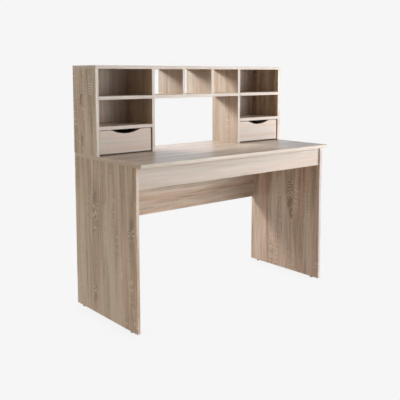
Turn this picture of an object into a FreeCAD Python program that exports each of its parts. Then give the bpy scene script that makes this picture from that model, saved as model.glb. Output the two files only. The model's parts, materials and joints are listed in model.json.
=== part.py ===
"""Computer desk with a hutch: two towers with a drawer each, and a row of cubbies between them.

Millimetres. The origin is on the floor, at the centre of the footprint.
+X is the user's right, +Y is the back of the desk and +Z is up.
"""
import FreeCAD, Part
import os

Vector = FreeCAD.Vector
LEFT, RIGHT = Vector(-1, 0, 0), Vector(1, 0, 0)
FRONT, BACK = Vector(0, -1, 0), Vector(0, 1, 0)
DOWN, UP = Vector(0, 0, -1), Vector(0, 0, 1)

# Desk
board = 16.0                 # every melamine-faced board
desk_width = 1200.0
desk_height = 745.0          # floor to the writing surface
side_depth = 520.0
top_overhang = 36.0          # the top passes the side panels at the front
edge_round = 1.0             # long edges of the banded boards
top_corner_round = 3.0
apron_height = 97.0
apron_recess = 8.0           # behind the side panels' front edges
modesty_height = 340.0

# Hutch
hutch_height = 414.0         # writing surface to the top of the hutch
hutch_depth = 207.0
tower_width = 326.0          # over both of a tower's panels
upper_bay_height = 125.0     # also the height of the cubbies
middle_bay_height = 122.0
back_thickness = 3.0
back_inset = 1.0             # the thin backs stop short of the boards' outlines

# Drawer front
front_side_gap = 4.0
front_top_gap = 3.0
front_floor_gap = 7.0        # above the writing surface
front_recess = 5.6           # behind the hutch's front edges
crescent_width = 157.0
crescent_depth = 18.0

# Drawer box and its rails
box_side_gap = 6.0           # between a drawer side and the tower panel
box_lift = 6.0               # lower edge of the box above the front's lower edge
box_height = 80.0
box_board = 12.0
box_back_gap = 10.0          # to the tower's back panel
bottom_thickness = 3.0
bottom_lift = 8.0            # bottom panel above the sides' lower edges
bottom_groove = 6.0
bottom_play = 0.2
drawer_back_inset = 6.0      # the drawer's back stands in front of the sides' rear ends
rail_groove = 6.5
rail_height = 14.0
rail_play = 0.5              # between a rail and the bottom of its groove
rail_lift = 0.3              # above and below a rail in its groove
rail_front_gap = 2.0
rail_back_gap = 8.0

# Glides under the side panels
glide_height = 7.0
glide_radius = 7.0
glide_edge_round = 1.2
glide_inset = 53.0           # from the panel's front and back edges
glide_pin_radius = 1.1
glide_pin_length = 15.0

# Clearances
fit_gap = 0.05               # around every fitting in its hole
end_gap = 0.5                # beyond the end of every blind fitting
overrun = 1.0                # cutters pass the surface they start from
touch = 0.001                # two coordinates nearer than this are the same

# Dowels, where a floor is the wood left behind a blind hole
dowel_radius = 4.0
dowel_length = 30.0
dowel_chamfer = 0.8
dowel_floor = 4.5
box_dowel_radius = 3.0
box_dowel_length = 24.0
box_dowel_chamfer = 0.6
box_dowel_floor = 6.0

# Cam fittings of the boards
lock_radius = 7.5
lock_floor = 3.5
cam_reach = 34.0             # from the joint to the middle of the lock
cam_bore_radius = 4.0
cam_thread_radius = 2.5
cam_collar_height = 2.0
cam_head_length = 3.0
cam_slot_width = 1.4
cam_slot_depth = 1.6

# Smaller cam fittings of the drawers
box_lock_radius = 6.0
box_lock_floor = 2.5
box_cam_reach = 24.0
box_cam_bore_radius = 3.0
box_cam_thread_radius = 2.0
box_cam_collar_height = 1.5
box_cam_head_length = 2.2
box_cam_slot_width = 1.1
box_cam_slot_depth = 1.2

# Cam bolt sections, as shares of the radius of the bore
stem_share = 0.70
neck_share = 0.45
head_share = 0.80

# Cover discs over the cam locks
cover_radius = 8.5
cover_thickness = 0.6

# Countersunk screws
divider_screw_radius = 2.5
divider_screw_length = 48.0
divider_screw_head_radius = 5.0
rail_screw_radius = 1.5
rail_screw_length = 22.0
rail_screw_head_radius = 3.2
box_screw_radius = 1.5
box_screw_length = 32.0
box_screw_head_radius = 3.2
bottom_screw_radius = 1.0
bottom_screw_length = 16.0
bottom_screw_head_radius = 2.2

# Nails of the tower backs
nail_length = 18.0
nail_radius = 0.7
nail_head_radius = 1.8
nail_head_height = 0.5

# Places of the fittings, as shares of the span that each one runs along
side_front_dowel_shares = (0.12, 0.75)
side_front_cam_shares = (0.40,)
side_rear_dowel_shares = (0.65,)
side_rear_cam_shares = (0.35,)
apron_dowel_shares = (0.30,)
apron_cam_shares = (0.70,)
modesty_dowel_shares = (0.12, 0.88)
modesty_cam_shares = (0.35, 0.65)
top_rail_dowel_shares = (0.15, 0.50, 0.85)
hutch_dowel_shares = (0.20, 0.80)
hutch_cam_shares = (0.50,)
tower_shelf_dowel_shares = (0.18,)
tower_shelf_cam_shares = (0.70,)
cubby_shelf_dowel_shares = (0.86,)
cubby_shelf_cam_shares = (0.34,)
divider_shares = (0.20, 0.80)
nail_upright_shares = (0.08, 0.36, 0.64, 0.92)
nail_shelf_shares = (0.30, 0.70)
rail_screw_shares = (0.15, 0.85)
box_dowel_share = 0.82
box_cam_share = 0.27
bottom_screw_shares = (0.15, 0.50, 0.85)

# Planes that the boards share
depth = top_overhang + side_depth + back_thickness + nail_head_height
x_left, x_right = -desk_width / 2, desk_width / 2
y_front = -depth / 2
y_side = y_front + top_overhang
y_back = y_side + side_depth
y_hutch = y_back - hutch_depth
z_top = desk_height
z_under = z_top - board
z_crown = z_top + hutch_height
z_ceiling = z_crown - board
z_shelf = z_ceiling - upper_bay_height
z_drawer_roof = z_shelf - board - middle_bay_height - board

PARALLEL_SHARE = 0.999

boards = {}
cutters = {}
groups = {}


def block(x, y, z):
    """A box from a low and a high value along each axis."""
    sizes = (x[1] - x[0], y[1] - y[0], z[1] - z[0])
    return Part.makeBox(*sizes, Vector(x[0], y[0], z[0]))


def runs_along(edge, axis):
    """True for a straight edge parallel to the axis."""
    step = edge.lastVertex().Point - edge.firstVertex().Point
    return abs(step.dot(axis)) > PARALLEL_SHARE * edge.Length


def lies_in(edge, axis, place):
    """True for an edge in the plane square to the axis at the place."""
    return all(abs(vertex.Point.dot(axis) - place) < touch for vertex in edge.Vertexes)


def rounded(solid, radius, wanted):
    """The solid with a fillet on each edge that the test picks."""
    return solid.makeFillet(radius, [edge for edge in solid.Edges if wanted(edge)])


def add_board(name, solid):
    """Registers a board, so that joints can drill it."""
    boards[name] = solid
    cutters[name] = []


def upright(name, x, y, z):
    """A standing board with rounded long edges."""
    add_board(name, rounded(block(x, y, z), edge_round, lambda edge: runs_along(edge, UP)))


def level(name, x, y, z):
    """A board that runs from left to right, with rounded long edges."""
    add_board(name, rounded(block(x, y, z), edge_round, lambda edge: runs_along(edge, RIGHT)))


def slab(name, x, y, z, corner_round):
    """A top board, banded all round: rounded corners, then a rounded rim above and below."""
    solid = rounded(block(x, y, z), corner_round, lambda edge: runs_along(edge, UP))
    add_board(name, rounded(solid, edge_round, lambda edge: edge.BoundBox.ZLength < touch))


def turned(profile):
    """A solid of revolution about +Z from points (radius, height) that start and end on the axis."""
    points = [Vector(radius, 0, height) for radius, height in profile]
    face = Part.Face(Part.makePolygon(points + points[:1]))
    return face.revolve(Vector(0, 0, 0), UP, 360)


def placed(solid, point, axis, cross=None):
    """A copy at the point, with its own +Z along the axis and, if given, its own +X along cross."""
    copy = solid.copy()
    turn = FreeCAD.Rotation(UP, axis)
    if cross is not None:
        turn = FreeCAD.Rotation(cross, axis.cross(cross), axis, "ZXY")
    copy.Placement = FreeCAD.Placement(point, turn)
    return copy


def rod(point, axis, length, radius):
    """A plain cylinder from the point along the axis."""
    return Part.makeCylinder(radius, length, point, axis)


def drill(names, cutter):
    """Cuts one shape from each named board when the boards are finished."""
    for name in names:
        cutters[name].append(cutter)


def add_fitting(group, solid):
    """Adds one small piece to the node that holds its kind."""
    groups.setdefault(group, []).append(solid)


def between(low, high, share):
    """The value at a share of the way from low to high."""
    return low + (high - low) * share


class Dowel:
    """A beech dowel, glued into a face on one side and into an edge on the other."""

    def __init__(self, radius, length, chamfer, floor):
        self.radius = radius
        self.length = length
        self.floor = floor
        self.solid = turned([
            (0, 0), (radius - chamfer, 0), (radius, chamfer),
            (radius, length - chamfer), (radius - chamfer, length), (0, length),
        ])

    def join(self, group, face, edge, point, axis):
        """Sets a dowel at a point of the joint; the axis points into the edge-bored board."""
        start = point - axis * (board - self.floor)
        add_fitting(group, placed(self.solid, start, axis))
        hole_length = self.length + end_gap + end_gap
        drill((face, edge), rod(start - axis * end_gap, axis, hole_length, self.radius + fit_gap))


class Cam:
    """A cam fitting: a bolt screwed into a face and the round lock, in an edge-bored board."""

    def __init__(self, radius, floor, host, reach, bore_radius, thread_radius, collar_height,
                 head_length, slot_width, slot_depth):
        self.radius = radius
        self.depth = host - floor
        self.host = host
        self.reach = reach
        self.bore_radius = bore_radius
        self.thread_radius = thread_radius
        self.thread_length = board - floor - end_gap
        stem_radius = bore_radius * stem_share
        neck_radius = bore_radius * neck_share
        head_radius = bore_radius * head_share
        head_low, head_high = reach - head_length / 2, reach + head_length / 2
        neck_low = head_low - head_length
        self.bolt = turned([
            (0, -self.thread_length), (thread_radius, -self.thread_length), (thread_radius, 0),
            (bore_radius - fit_gap, 0), (bore_radius - fit_gap, collar_height),
            (stem_radius, collar_height), (stem_radius, neck_low), (neck_radius, neck_low),
            (neck_radius, head_low), (head_radius, head_low), (head_radius, head_high), (0, head_high),
        ])
        lock_height = self.depth - end_gap
        body = rod(Vector(0, 0, -lock_height), UP, lock_height, radius - fit_gap)
        pocket_start = Vector(-head_length, 0, -host / 2)
        pocket = rod(pocket_start, RIGHT, head_length + radius + overrun, head_radius + fit_gap)
        slots = [
            block((-half_x, half_x), (-half_y, half_y), (-slot_depth, overrun))
            for half_x, half_y in ((radius / 2, slot_width / 2), (slot_width / 2, radius / 2))
        ]
        self.lock = body.cut([pocket] + slots)

    def join(self, group, face, edge, point, axis, outward, covered=False):
        """Sets a cam fitting; the lock opens on the edge-bored board's face that looks outward."""
        add_fitting(group + "_cam_bolts", placed(self.bolt, point, axis))
        mouth = point + axis * self.reach + outward * (self.host / 2)
        add_fitting(group + "_cam_locks", placed(self.lock, mouth, outward, -axis))
        pilot_length = self.thread_length + end_gap + overrun
        drill((face,), rod(point + axis * overrun, -axis, pilot_length, self.thread_radius + fit_gap))
        drill((edge,), rod(point - axis * overrun, axis, self.reach + overrun, self.bore_radius))
        drill((edge,), rod(mouth + outward * overrun, -outward, self.depth + overrun, self.radius))
        if covered:
            add_fitting(group + "_cam_covers", rod(mouth, outward, cover_thickness, cover_radius))


class Screw:
    """A countersunk wood screw with a plain cylinder for its thread."""

    def __init__(self, radius, length, head_radius):
        head_height = head_radius - radius
        tip_length = radius + radius
        self.solid = turned([
            (0, 0), (head_radius, 0), (radius, head_height), (radius, length - tip_length), (0, length),
        ])
        wide, narrow = head_radius + fit_gap, radius + fit_gap
        self.cutter = turned([
            (0, -overrun), (wide, -overrun), (wide, 0), (narrow, head_height),
            (narrow, length + end_gap), (0, length + end_gap),
        ])

    def join(self, group, names, point, axis):
        """Drives a screw from the point along the axis, flush with the first board's face."""
        add_fitting(group, placed(self.solid, point, axis))
        drill(names, placed(self.cutter, point, axis))


frame_dowel = Dowel(dowel_radius, dowel_length, dowel_chamfer, dowel_floor)
frame_cam = Cam(lock_radius, lock_floor, board, cam_reach, cam_bore_radius, cam_thread_radius,
                cam_collar_height, cam_head_length, cam_slot_width, cam_slot_depth)
box_dowel = Dowel(box_dowel_radius, box_dowel_length, box_dowel_chamfer, box_dowel_floor)
box_cam = Cam(box_lock_radius, box_lock_floor, box_board, box_cam_reach, box_cam_bore_radius,
              box_cam_thread_radius, box_cam_collar_height, box_cam_head_length, box_cam_slot_width,
              box_cam_slot_depth)
divider_screw = Screw(divider_screw_radius, divider_screw_length, divider_screw_head_radius)
rail_screw = Screw(rail_screw_radius, rail_screw_length, rail_screw_head_radius)
box_screw = Screw(box_screw_radius, box_screw_length, box_screw_head_radius)
bottom_screw = Screw(bottom_screw_radius, bottom_screw_length, bottom_screw_head_radius)


def make_desk_boards():
    """The table: a top on two side panels, with an apron and a modesty panel between them."""
    inside = (x_left + board, x_right - board)
    slab("desk_top", (x_left, x_right), (y_front, y_back), (z_under, z_top), top_corner_round)
    upright("left_side_panel", (x_left, inside[0]), (y_side, y_back), (glide_height, z_under))
    upright("right_side_panel", (inside[1], x_right), (y_side, y_back), (glide_height, z_under))
    apron_y = (y_side + apron_recess, y_side + apron_recess + board)
    level("front_apron", inside, apron_y, (z_under - apron_height, z_under))
    level("modesty_panel", inside, (y_back - board, y_back), (z_under - modesty_height, z_under))


def make_glides():
    """Four nail-on glides: a flat plastic button on the floor and a pin in the panel's edge."""
    corner = glide_radius - glide_edge_round
    button = turned([
        (0, 0), (corner, 0), (glide_radius, glide_edge_round), (glide_radius, glide_height),
        (glide_pin_radius, glide_height), (glide_pin_radius, glide_height + glide_pin_length),
        (0, glide_height + glide_pin_length),
    ])
    pin_hole_length = glide_pin_length + end_gap + overrun
    for name, x in (("left_side_panel", x_left + board / 2), ("right_side_panel", x_right - board / 2)):
        for y in (y_side + glide_inset, y_back - glide_inset):
            add_fitting("floor_glides", placed(button, Vector(x, y, 0), UP))
            start = Vector(x, y, glide_height - overrun)
            drill((name,), rod(start, UP, pin_hole_length, glide_pin_radius + fit_gap))


def join_desk():
    """Dowels and cam fittings of the table, all on faces that the user doesn't see."""
    apron_y = y_side + apron_recess + board / 2
    modesty_y = y_back - board / 2
    spans = (
        (y_side, y_hutch, side_front_dowel_shares, side_front_cam_shares),
        (y_hutch, y_back, side_rear_dowel_shares, side_rear_cam_shares),
    )
    rails = (
        ("front_apron", apron_y, apron_height, apron_dowel_shares, apron_cam_shares),
        ("modesty_panel", modesty_y, modesty_height, modesty_dowel_shares, modesty_cam_shares),
    )
    sides = (("left_side_panel", x_left + board / 2, RIGHT), ("right_side_panel", x_right - board / 2, LEFT))
    for name, x, inward in sides:
        for low, high, dowel_shares, cam_shares in spans:
            for share in dowel_shares:
                point = Vector(x, between(low, high, share), z_under)
                frame_dowel.join("desk_dowels", "desk_top", name, point, DOWN)
            for share in cam_shares:
                point = Vector(x, between(low, high, share), z_under)
                frame_cam.join("desk", "desk_top", name, point, DOWN, inward, covered=True)
        face_x = x + inward.x * board / 2
        for rail, y, height, dowel_shares, cam_shares in rails:
            for share in dowel_shares:
                point = Vector(face_x, y, between(z_under - height, z_under, share))
                frame_dowel.join("desk_dowels", name, rail, point, inward)
            for share in cam_shares:
                point = Vector(face_x, y, between(z_under - height, z_under, share))
                frame_cam.join("desk", name, rail, point, inward, BACK)
    for rail, y in (("front_apron", apron_y), ("modesty_panel", modesty_y)):
        for share in top_rail_dowel_shares:
            point = Vector(between(x_left + board, x_right - board, share), y, z_under)
            frame_dowel.join("desk_dowels", "desk_top", rail, point, DOWN)


def tower_walls(side):
    """The low and high x of a tower's outer and inner panels, as (outer, inner)."""
    if side == "left":
        near, far = x_left, x_left + tower_width
        return (near, near + board), (far - board, far)
    near, far = x_right, x_right - tower_width
    return (near - board, near), (far, far + board)


def tower_inside(side):
    """The low and high x of the space between a tower's panels."""
    outer, inner = tower_walls(side)
    return (outer[1], inner[0]) if side == "left" else (inner[1], outer[0])


def wall_names(side):
    """The nodes of a tower's left and right panels."""
    outer, inner = "hutch_" + side + "_side", side + "_tower_inner_panel"
    return (outer, inner) if side == "left" else (inner, outer)


def make_hutch_boards():
    """The hutch: a top over four uprights, tower shelves, thin tower backs and the cubby row."""
    slab("hutch_top", (x_left, x_right), (y_hutch, y_back), (z_ceiling, z_crown), edge_round + edge_round)
    for side in ("left", "right"):
        outer, inner = tower_walls(side)
        inside = tower_inside(side)
        upright("hutch_" + side + "_side", outer, (y_hutch, y_back), (z_top, z_ceiling))
        upright(side + "_tower_inner_panel", inner, (y_hutch, y_back), (z_top, z_ceiling))
        level(side + "_tower_upper_shelf", inside, (y_hutch, y_back), (z_shelf - board, z_shelf))
        level(side + "_tower_lower_shelf", inside, (y_hutch, y_back), (z_drawer_roof, z_drawer_roof + board))
        low = min(outer[0], inner[0]) + back_inset
        high = max(outer[1], inner[1]) - back_inset
        back_z = (z_top + back_inset, z_crown - back_inset)
        add_board(side + "_tower_back", block((low, high), (y_back, y_back + back_thickness), back_z))
    level("cubby_shelf", cubby_span(), (y_hutch, y_back), (z_shelf - board, z_shelf))
    for name, x in divider_places():
        upright(name, (x, x + board), (y_hutch, y_back), (z_shelf, z_ceiling))


def cubby_span():
    """The low and high x of the space between the towers."""
    return tower_walls("left")[1][1], tower_walls("right")[1][0]


def divider_places():
    """The two dividers' names and low x, which leave three equal cubbies."""
    low, high = cubby_span()
    cubby_width = (high - low - board - board) / 3
    return (("left_cubby_divider", low + cubby_width), ("right_cubby_divider", high - cubby_width - board))


def join_hutch():
    """Dowels and cams between the hutch's boards, and between the hutch and the writing surface."""
    for side in ("left", "right"):
        into_tower = RIGHT if side == "left" else LEFT
        outer, inner = tower_walls(side)
        join_upright("hutch_" + side + "_side", outer, into_tower, into_tower)
        join_upright(side + "_tower_inner_panel", inner, RIGHT, -into_tower)
        walls = wall_names(side)
        for shelf, z in (("_tower_upper_shelf", z_shelf), ("_tower_lower_shelf", z_drawer_roof + board)):
            join_shelf(side + shelf, walls, tower_inside(side), z, tower_shelf_dowel_shares,
                       tower_shelf_cam_shares)
    walls = ("left_tower_inner_panel", "right_tower_inner_panel")
    join_shelf("cubby_shelf", walls, cubby_span(), z_shelf, cubby_shelf_dowel_shares,
               cubby_shelf_cam_shares)
    for name, x in divider_places():
        for share in divider_shares:
            y = between(y_hutch, y_back, share)
            frame_dowel.join("hutch_dowels", "hutch_top", name, Vector(x + board / 2, y, z_ceiling), DOWN)
            start = Vector(x + board / 2, y, z_shelf - board)
            divider_screw.join("divider_screws", ("cubby_shelf", name), start, UP)


def join_upright(name, wall, upper_face, lower_face):
    """Fixes an upright under the hutch's top and on the writing surface; the faces hold its locks."""
    x = (wall[0] + wall[1]) / 2
    for share in hutch_dowel_shares:
        y = between(y_hutch, y_back, share)
        frame_dowel.join("hutch_dowels", "hutch_top", name, Vector(x, y, z_ceiling), DOWN)
        frame_dowel.join("hutch_dowels", "desk_top", name, Vector(x, y, z_top), UP)
    for share in hutch_cam_shares:
        y = between(y_hutch, y_back, share)
        frame_cam.join("hutch", "hutch_top", name, Vector(x, y, z_ceiling), DOWN, upper_face, covered=True)
        frame_cam.join("hutch", "desk_top", name, Vector(x, y, z_top), UP, lower_face)


def join_shelf(shelf, walls, span, z_face, dowel_shares, cam_shares):
    """Fixes a shelf, whose upper face is at z_face, between two uprights; its locks open below."""
    z = z_face - board / 2
    for name, x, axis in ((walls[0], span[0], RIGHT), (walls[1], span[1], LEFT)):
        for share in dowel_shares:
            point = Vector(x, between(y_hutch, y_back, share), z)
            frame_dowel.join("hutch_dowels", name, shelf, point, axis)
        for share in cam_shares:
            point = Vector(x, between(y_hutch, y_back, share), z)
            frame_cam.join("hutch", name, shelf, point, axis, DOWN)


def nail_backs():
    """Small flat-headed nails round each tower back and into its shelves."""
    nail = turned([
        (0, -nail_head_height), (nail_head_radius, -nail_head_height), (nail_head_radius, 0),
        (nail_radius, 0), (nail_radius, nail_length - nail_radius - nail_radius), (0, nail_length),
    ])
    for side in ("left", "right"):
        inside = tower_inside(side)
        places = []
        for name, x in zip(wall_names(side), (inside[0] - board / 2, inside[1] + board / 2)):
            for share in nail_upright_shares:
                places.append((name, x, between(z_top, z_ceiling, share)))
        for name, z in (
            ("hutch_top", z_ceiling + board / 2),
            (side + "_tower_upper_shelf", z_shelf - board / 2),
            (side + "_tower_lower_shelf", z_drawer_roof + board / 2),
        ):
            for share in nail_shelf_shares:
                places.append((name, between(inside[0], inside[1], share), z))
        for name, x, z in places:
            start = Vector(x, y_back + back_thickness, z)
            add_fitting("back_panel_nails", placed(nail, start, FRONT))
            hole = rod(start + BACK * overrun, FRONT, nail_length + overrun + end_gap, nail_radius + fit_gap)
            drill((side + "_tower_back", name), hole)


# Planes that each drawer shares, all tied to its front
front_low_z = z_top + front_floor_gap
front_high_z = z_drawer_roof - front_top_gap
front_y = y_hutch + front_recess
box_y = front_y + board
box_end_y = y_back - box_back_gap
box_low_z = front_low_z + box_lift
box_high_z = box_low_z + box_height
rail_mid_z = (box_low_z + box_high_z) / 2
bottom_z = box_low_z + bottom_lift


def make_drawer(side):
    """A drawer: front with a crescent finger cut-out, grooved sides, back and a thin bottom."""
    name = side + "_drawer_"
    inside = tower_inside(side)
    front_x = (inside[0] + front_side_gap, inside[1] - front_side_gap)
    box_x = (inside[0] + box_side_gap, inside[1] - box_side_gap)
    inner_x = (box_x[0] + box_board, box_x[1] - box_board)
    side_y, side_z = (box_y, box_end_y), (box_low_z, box_high_z)
    add_board(name + "front", crescent_front(front_x))
    hands = (("left", (box_x[0], inner_x[0]), box_x[0]), ("right", (inner_x[1], box_x[1]), box_x[1]))
    for hand, x, outer_x in hands:
        plain = rounded(block(x, side_y, side_z), edge_round, lambda edge: is_box_rim(edge, BACK))
        add_board(name + hand + "_side", plain)
        groove_x = (outer_x - rail_groove, outer_x + rail_groove)
        half_height = rail_height / 2 + rail_lift
        groove_z = (rail_mid_z - half_height, rail_mid_z + half_height)
        drill((name + hand + "_side",), block(groove_x, (box_y - overrun, box_end_y + overrun), groove_z))
    back_y = (box_end_y - drawer_back_inset - box_board, box_end_y - drawer_back_inset)
    back_z = (bottom_z + bottom_thickness, box_high_z)
    plain = rounded(block(inner_x, back_y, back_z), edge_round, lambda edge: is_box_rim(edge, RIGHT))
    add_board(name + "back", plain)
    reach = bottom_groove - bottom_play
    bottom_x = (inner_x[0] - reach, inner_x[1] + reach)
    panel = block(bottom_x, (box_y - reach, box_end_y), (bottom_z, bottom_z + bottom_thickness))
    add_board(name + "bottom", panel)
    slot_x = (inner_x[0] - bottom_groove, inner_x[1] + bottom_groove)
    slot_z = (bottom_z - bottom_play, bottom_z + bottom_thickness + bottom_play)
    slot = block(slot_x, (box_y - bottom_groove, box_end_y + overrun), slot_z)
    drill((name + "front", name + "left_side", name + "right_side"), slot)
    join_drawer(name, box_x, inner_x, back_y)


def is_box_rim(edge, axis):
    """True for an edge along the axis at the top of the drawer's box."""
    return runs_along(edge, axis) and lies_in(edge, UP, box_high_z)


def crescent_front(x):
    """The drawer front: an outline with a shallow arc in its top edge, rounded round its face."""
    middle = (x[0] + x[1]) / 2
    low, high = front_low_z, front_high_z
    corner = [Vector(x[0], front_y, high), Vector(x[0], front_y, low),
              Vector(x[1], front_y, low), Vector(x[1], front_y, high)]
    arc_right = Vector(middle + crescent_width / 2, front_y, high)
    arc_left = Vector(middle - crescent_width / 2, front_y, high)
    arc_low = Vector(middle, front_y, high - crescent_depth)
    straight = [corner[0], corner[1], corner[2], corner[3], arc_right]
    edges = [Part.LineSegment(a, b).toShape() for a, b in zip([arc_left] + straight[:-1], straight)]
    edges.append(Part.Arc(arc_right, arc_low, arc_left).toShape())
    plate = Part.Face(Part.Wire(edges)).extrude(BACK * board)
    return rounded(plate, edge_round, lambda edge: lies_in(edge, BACK, front_y))


def join_drawer(name, box_x, inner_x, back_y):
    """Dowels and cams from the front to the sides, screws through the sides and the bottom."""
    high_z = between(box_low_z, box_high_z, box_dowel_share)
    low_z = between(box_low_z, box_high_z, box_cam_share)
    for hand, outer_x, inward in (("left", box_x[0], RIGHT), ("right", box_x[1], LEFT)):
        side_name = name + hand + "_side"
        middle = outer_x + inward.x * box_board / 2
        box_dowel.join(name + "dowels", name + "front", side_name, Vector(middle, box_y, high_z), BACK)
        box_cam.join(name[:-1], name + "front", side_name, Vector(middle, box_y, low_z), BACK, inward)
        for z in (high_z, low_z):
            start = Vector(outer_x, (back_y[0] + back_y[1]) / 2, z)
            box_screw.join(name + "side_screws", (side_name, name + "back"), start, inward)
    for share in bottom_screw_shares:
        start = Vector(between(inner_x[0], inner_x[1], share), (back_y[0] + back_y[1]) / 2, bottom_z)
        bottom_screw.join(name + "bottom_screws", (name + "bottom", name + "back"), start, UP)


def make_rails(side):
    """A tower's two guide rails, screwed to the panels, which the drawer's grooves run on."""
    inside = tower_inside(side)
    thickness = box_side_gap + rail_groove - rail_play
    y = (box_y + rail_front_gap, y_back - rail_back_gap)
    z = (rail_mid_z - rail_height / 2, rail_mid_z + rail_height / 2)
    left_wall, right_wall = wall_names(side)
    for hand, wall, x, free_x, into_wall in (
        ("left", left_wall, (inside[0], inside[0] + thickness), inside[0] + thickness, LEFT),
        ("right", right_wall, (inside[1] - thickness, inside[1]), inside[1] - thickness, RIGHT),
    ):
        rail = side + "_drawer_" + hand + "_rail"
        add_board(rail, rounded(block(x, y, z), edge_round, lambda edge: lies_in(edge, RIGHT, free_x)))
        for share in rail_screw_shares:
            start = Vector(free_x, between(y[0], y[1], share), rail_mid_z)
            rail_screw.join("rail_screws", (rail, wall), start, into_wall)


def export_all():
    """Drills the boards and writes one file per node."""
    os.makedirs("parts", exist_ok=True)
    for name, solid in boards.items():
        shape = solid.cut(cutters[name]) if cutters[name] else solid
        shape.exportStep("parts/" + name + ".step")
    for name, solids in groups.items():
        Part.makeCompound(solids).exportStep("parts/" + name + ".step")
    print(len(boards), "boards and rails,", len(groups), "groups of fittings")


make_desk_boards()
make_glides()
join_desk()
make_hutch_boards()
join_hutch()
nail_backs()
for tower in ("left", "right"):
    make_drawer(tower)
    make_rails(tower)
export_all()
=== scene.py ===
"""Looks of a computer desk: oak-effect foil on every board, its fittings, a pale studio and the camera.

Lengths are metres in the part's own frame: +X to the user's right, +Y to the back, +Z up.
"""
import json
import logging
import math
from abc import ABC, abstractmethod
from collections.abc import Iterable
from dataclasses import dataclass, field
from enum import Enum

import bmesh
import bpy
from mathutils import Matrix, Vector


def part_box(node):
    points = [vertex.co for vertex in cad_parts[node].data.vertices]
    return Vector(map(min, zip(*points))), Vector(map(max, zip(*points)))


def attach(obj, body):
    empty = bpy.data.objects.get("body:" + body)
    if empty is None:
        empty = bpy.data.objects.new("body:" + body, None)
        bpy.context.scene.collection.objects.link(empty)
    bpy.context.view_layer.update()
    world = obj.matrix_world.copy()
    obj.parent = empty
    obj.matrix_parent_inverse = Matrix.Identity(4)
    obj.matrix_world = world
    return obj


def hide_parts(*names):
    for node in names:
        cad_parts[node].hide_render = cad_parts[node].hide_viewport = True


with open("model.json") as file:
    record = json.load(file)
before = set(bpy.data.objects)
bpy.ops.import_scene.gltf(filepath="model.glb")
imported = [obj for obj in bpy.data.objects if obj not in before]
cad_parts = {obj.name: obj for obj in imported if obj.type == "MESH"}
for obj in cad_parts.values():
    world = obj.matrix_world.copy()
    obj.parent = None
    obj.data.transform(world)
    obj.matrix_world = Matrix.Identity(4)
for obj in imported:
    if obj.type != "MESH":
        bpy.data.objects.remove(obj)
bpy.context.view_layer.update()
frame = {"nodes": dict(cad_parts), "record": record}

Colour = tuple[float, float, float]
Point = tuple[float, float, float]

LOG = logging.getLogger("desk")
MM = 0.001
SIDES = ("left", "right")
# Points nearer to each other than this are one point.
WELD = 0.001 * MM


class Grain(Enum):
    """The part's axes that run along a board's grain, across it and through its thickness."""

    UPRIGHT_SIDE = (2, 1, 0)
    UPRIGHT_FACE = (2, 0, 1)
    LEVEL_TOP = (0, 1, 2)
    LEVEL_FACE = (0, 2, 1)
    DEEP_SIDE = (1, 2, 0)

    def order(self, point: Iterable[float]) -> Point:
        """Gives a point's or a size's values as along, across and through."""
        values = tuple(point)
        return tuple(values[axis] for axis in self.value)


class Kind(Enum):
    """The kinds of value that a shared shader effect takes in or gives out."""

    NUMBER = "NodeSocketFloat"
    PLACE = "NodeSocketVector"
    COLOUR = "NodeSocketColor"


@dataclass(frozen=True)
class Layer:
    """One layer of noise, from 0 to 1, that may be stretched along the grain.

    Attributes:
        along: Features per metre along the grain.
        across: Features per metre across the grain.
        detail: Octaves past the first.
        roughness: How strong the finer octaves are.
        low: The noise where the layer's mask starts.
        high: The noise where the layer's mask is whole.
        least: What the mask is below its start.
    """

    along: float
    across: float
    detail: float = 2.0
    roughness: float = 0.5
    low: float = 0.0
    high: float = 1.0
    least: float = 0.0


class Value:
    """A number, place, colour or shader in a node tree. Sums and products of numbers become Math nodes."""

    def __init__(self, net: "Net", socket: bpy.types.NodeSocket) -> None:
        """Stands for an output socket.

        Args:
            net: The net that the socket is in.
            socket: The socket.
        """
        self.net = net
        self.socket = socket

    def __add__(self, other: "Feed") -> "Value":
        """Adds another number."""
        return self.net.math("ADD", self, other)

    def __sub__(self, other: "Feed") -> "Value":
        """Takes another number away."""
        return self.net.math("SUBTRACT", self, other)

    def __rsub__(self, other: float) -> "Value":
        """Is taken away from a plain number."""
        return self.net.math("SUBTRACT", other, self)

    def __mul__(self, other: "Feed") -> "Value":
        """Multiplies by another number."""
        return self.net.math("MULTIPLY", self, other)

    def __truediv__(self, other: "Feed") -> "Value":
        """Divides by another number."""
        return self.net.math("DIVIDE", self, other)

    def __abs__(self) -> "Value":
        """Drops the sign."""
        return self.net.math("ABSOLUTE", self)


Feed = Value | float | tuple[float, ...]


class Outputs:
    """The values that a node gives out, by name or number."""

    def __init__(self, net: "Net", node: bpy.types.Node) -> None:
        """Stands for a node.

        Args:
            net: The net that the node is in.
            node: The node.
        """
        self.net = net
        self.node = node

    def __getitem__(self, key: str | int) -> Value:
        """Gives one value."""
        return Value(self.net, self.node.outputs[key])


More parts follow.
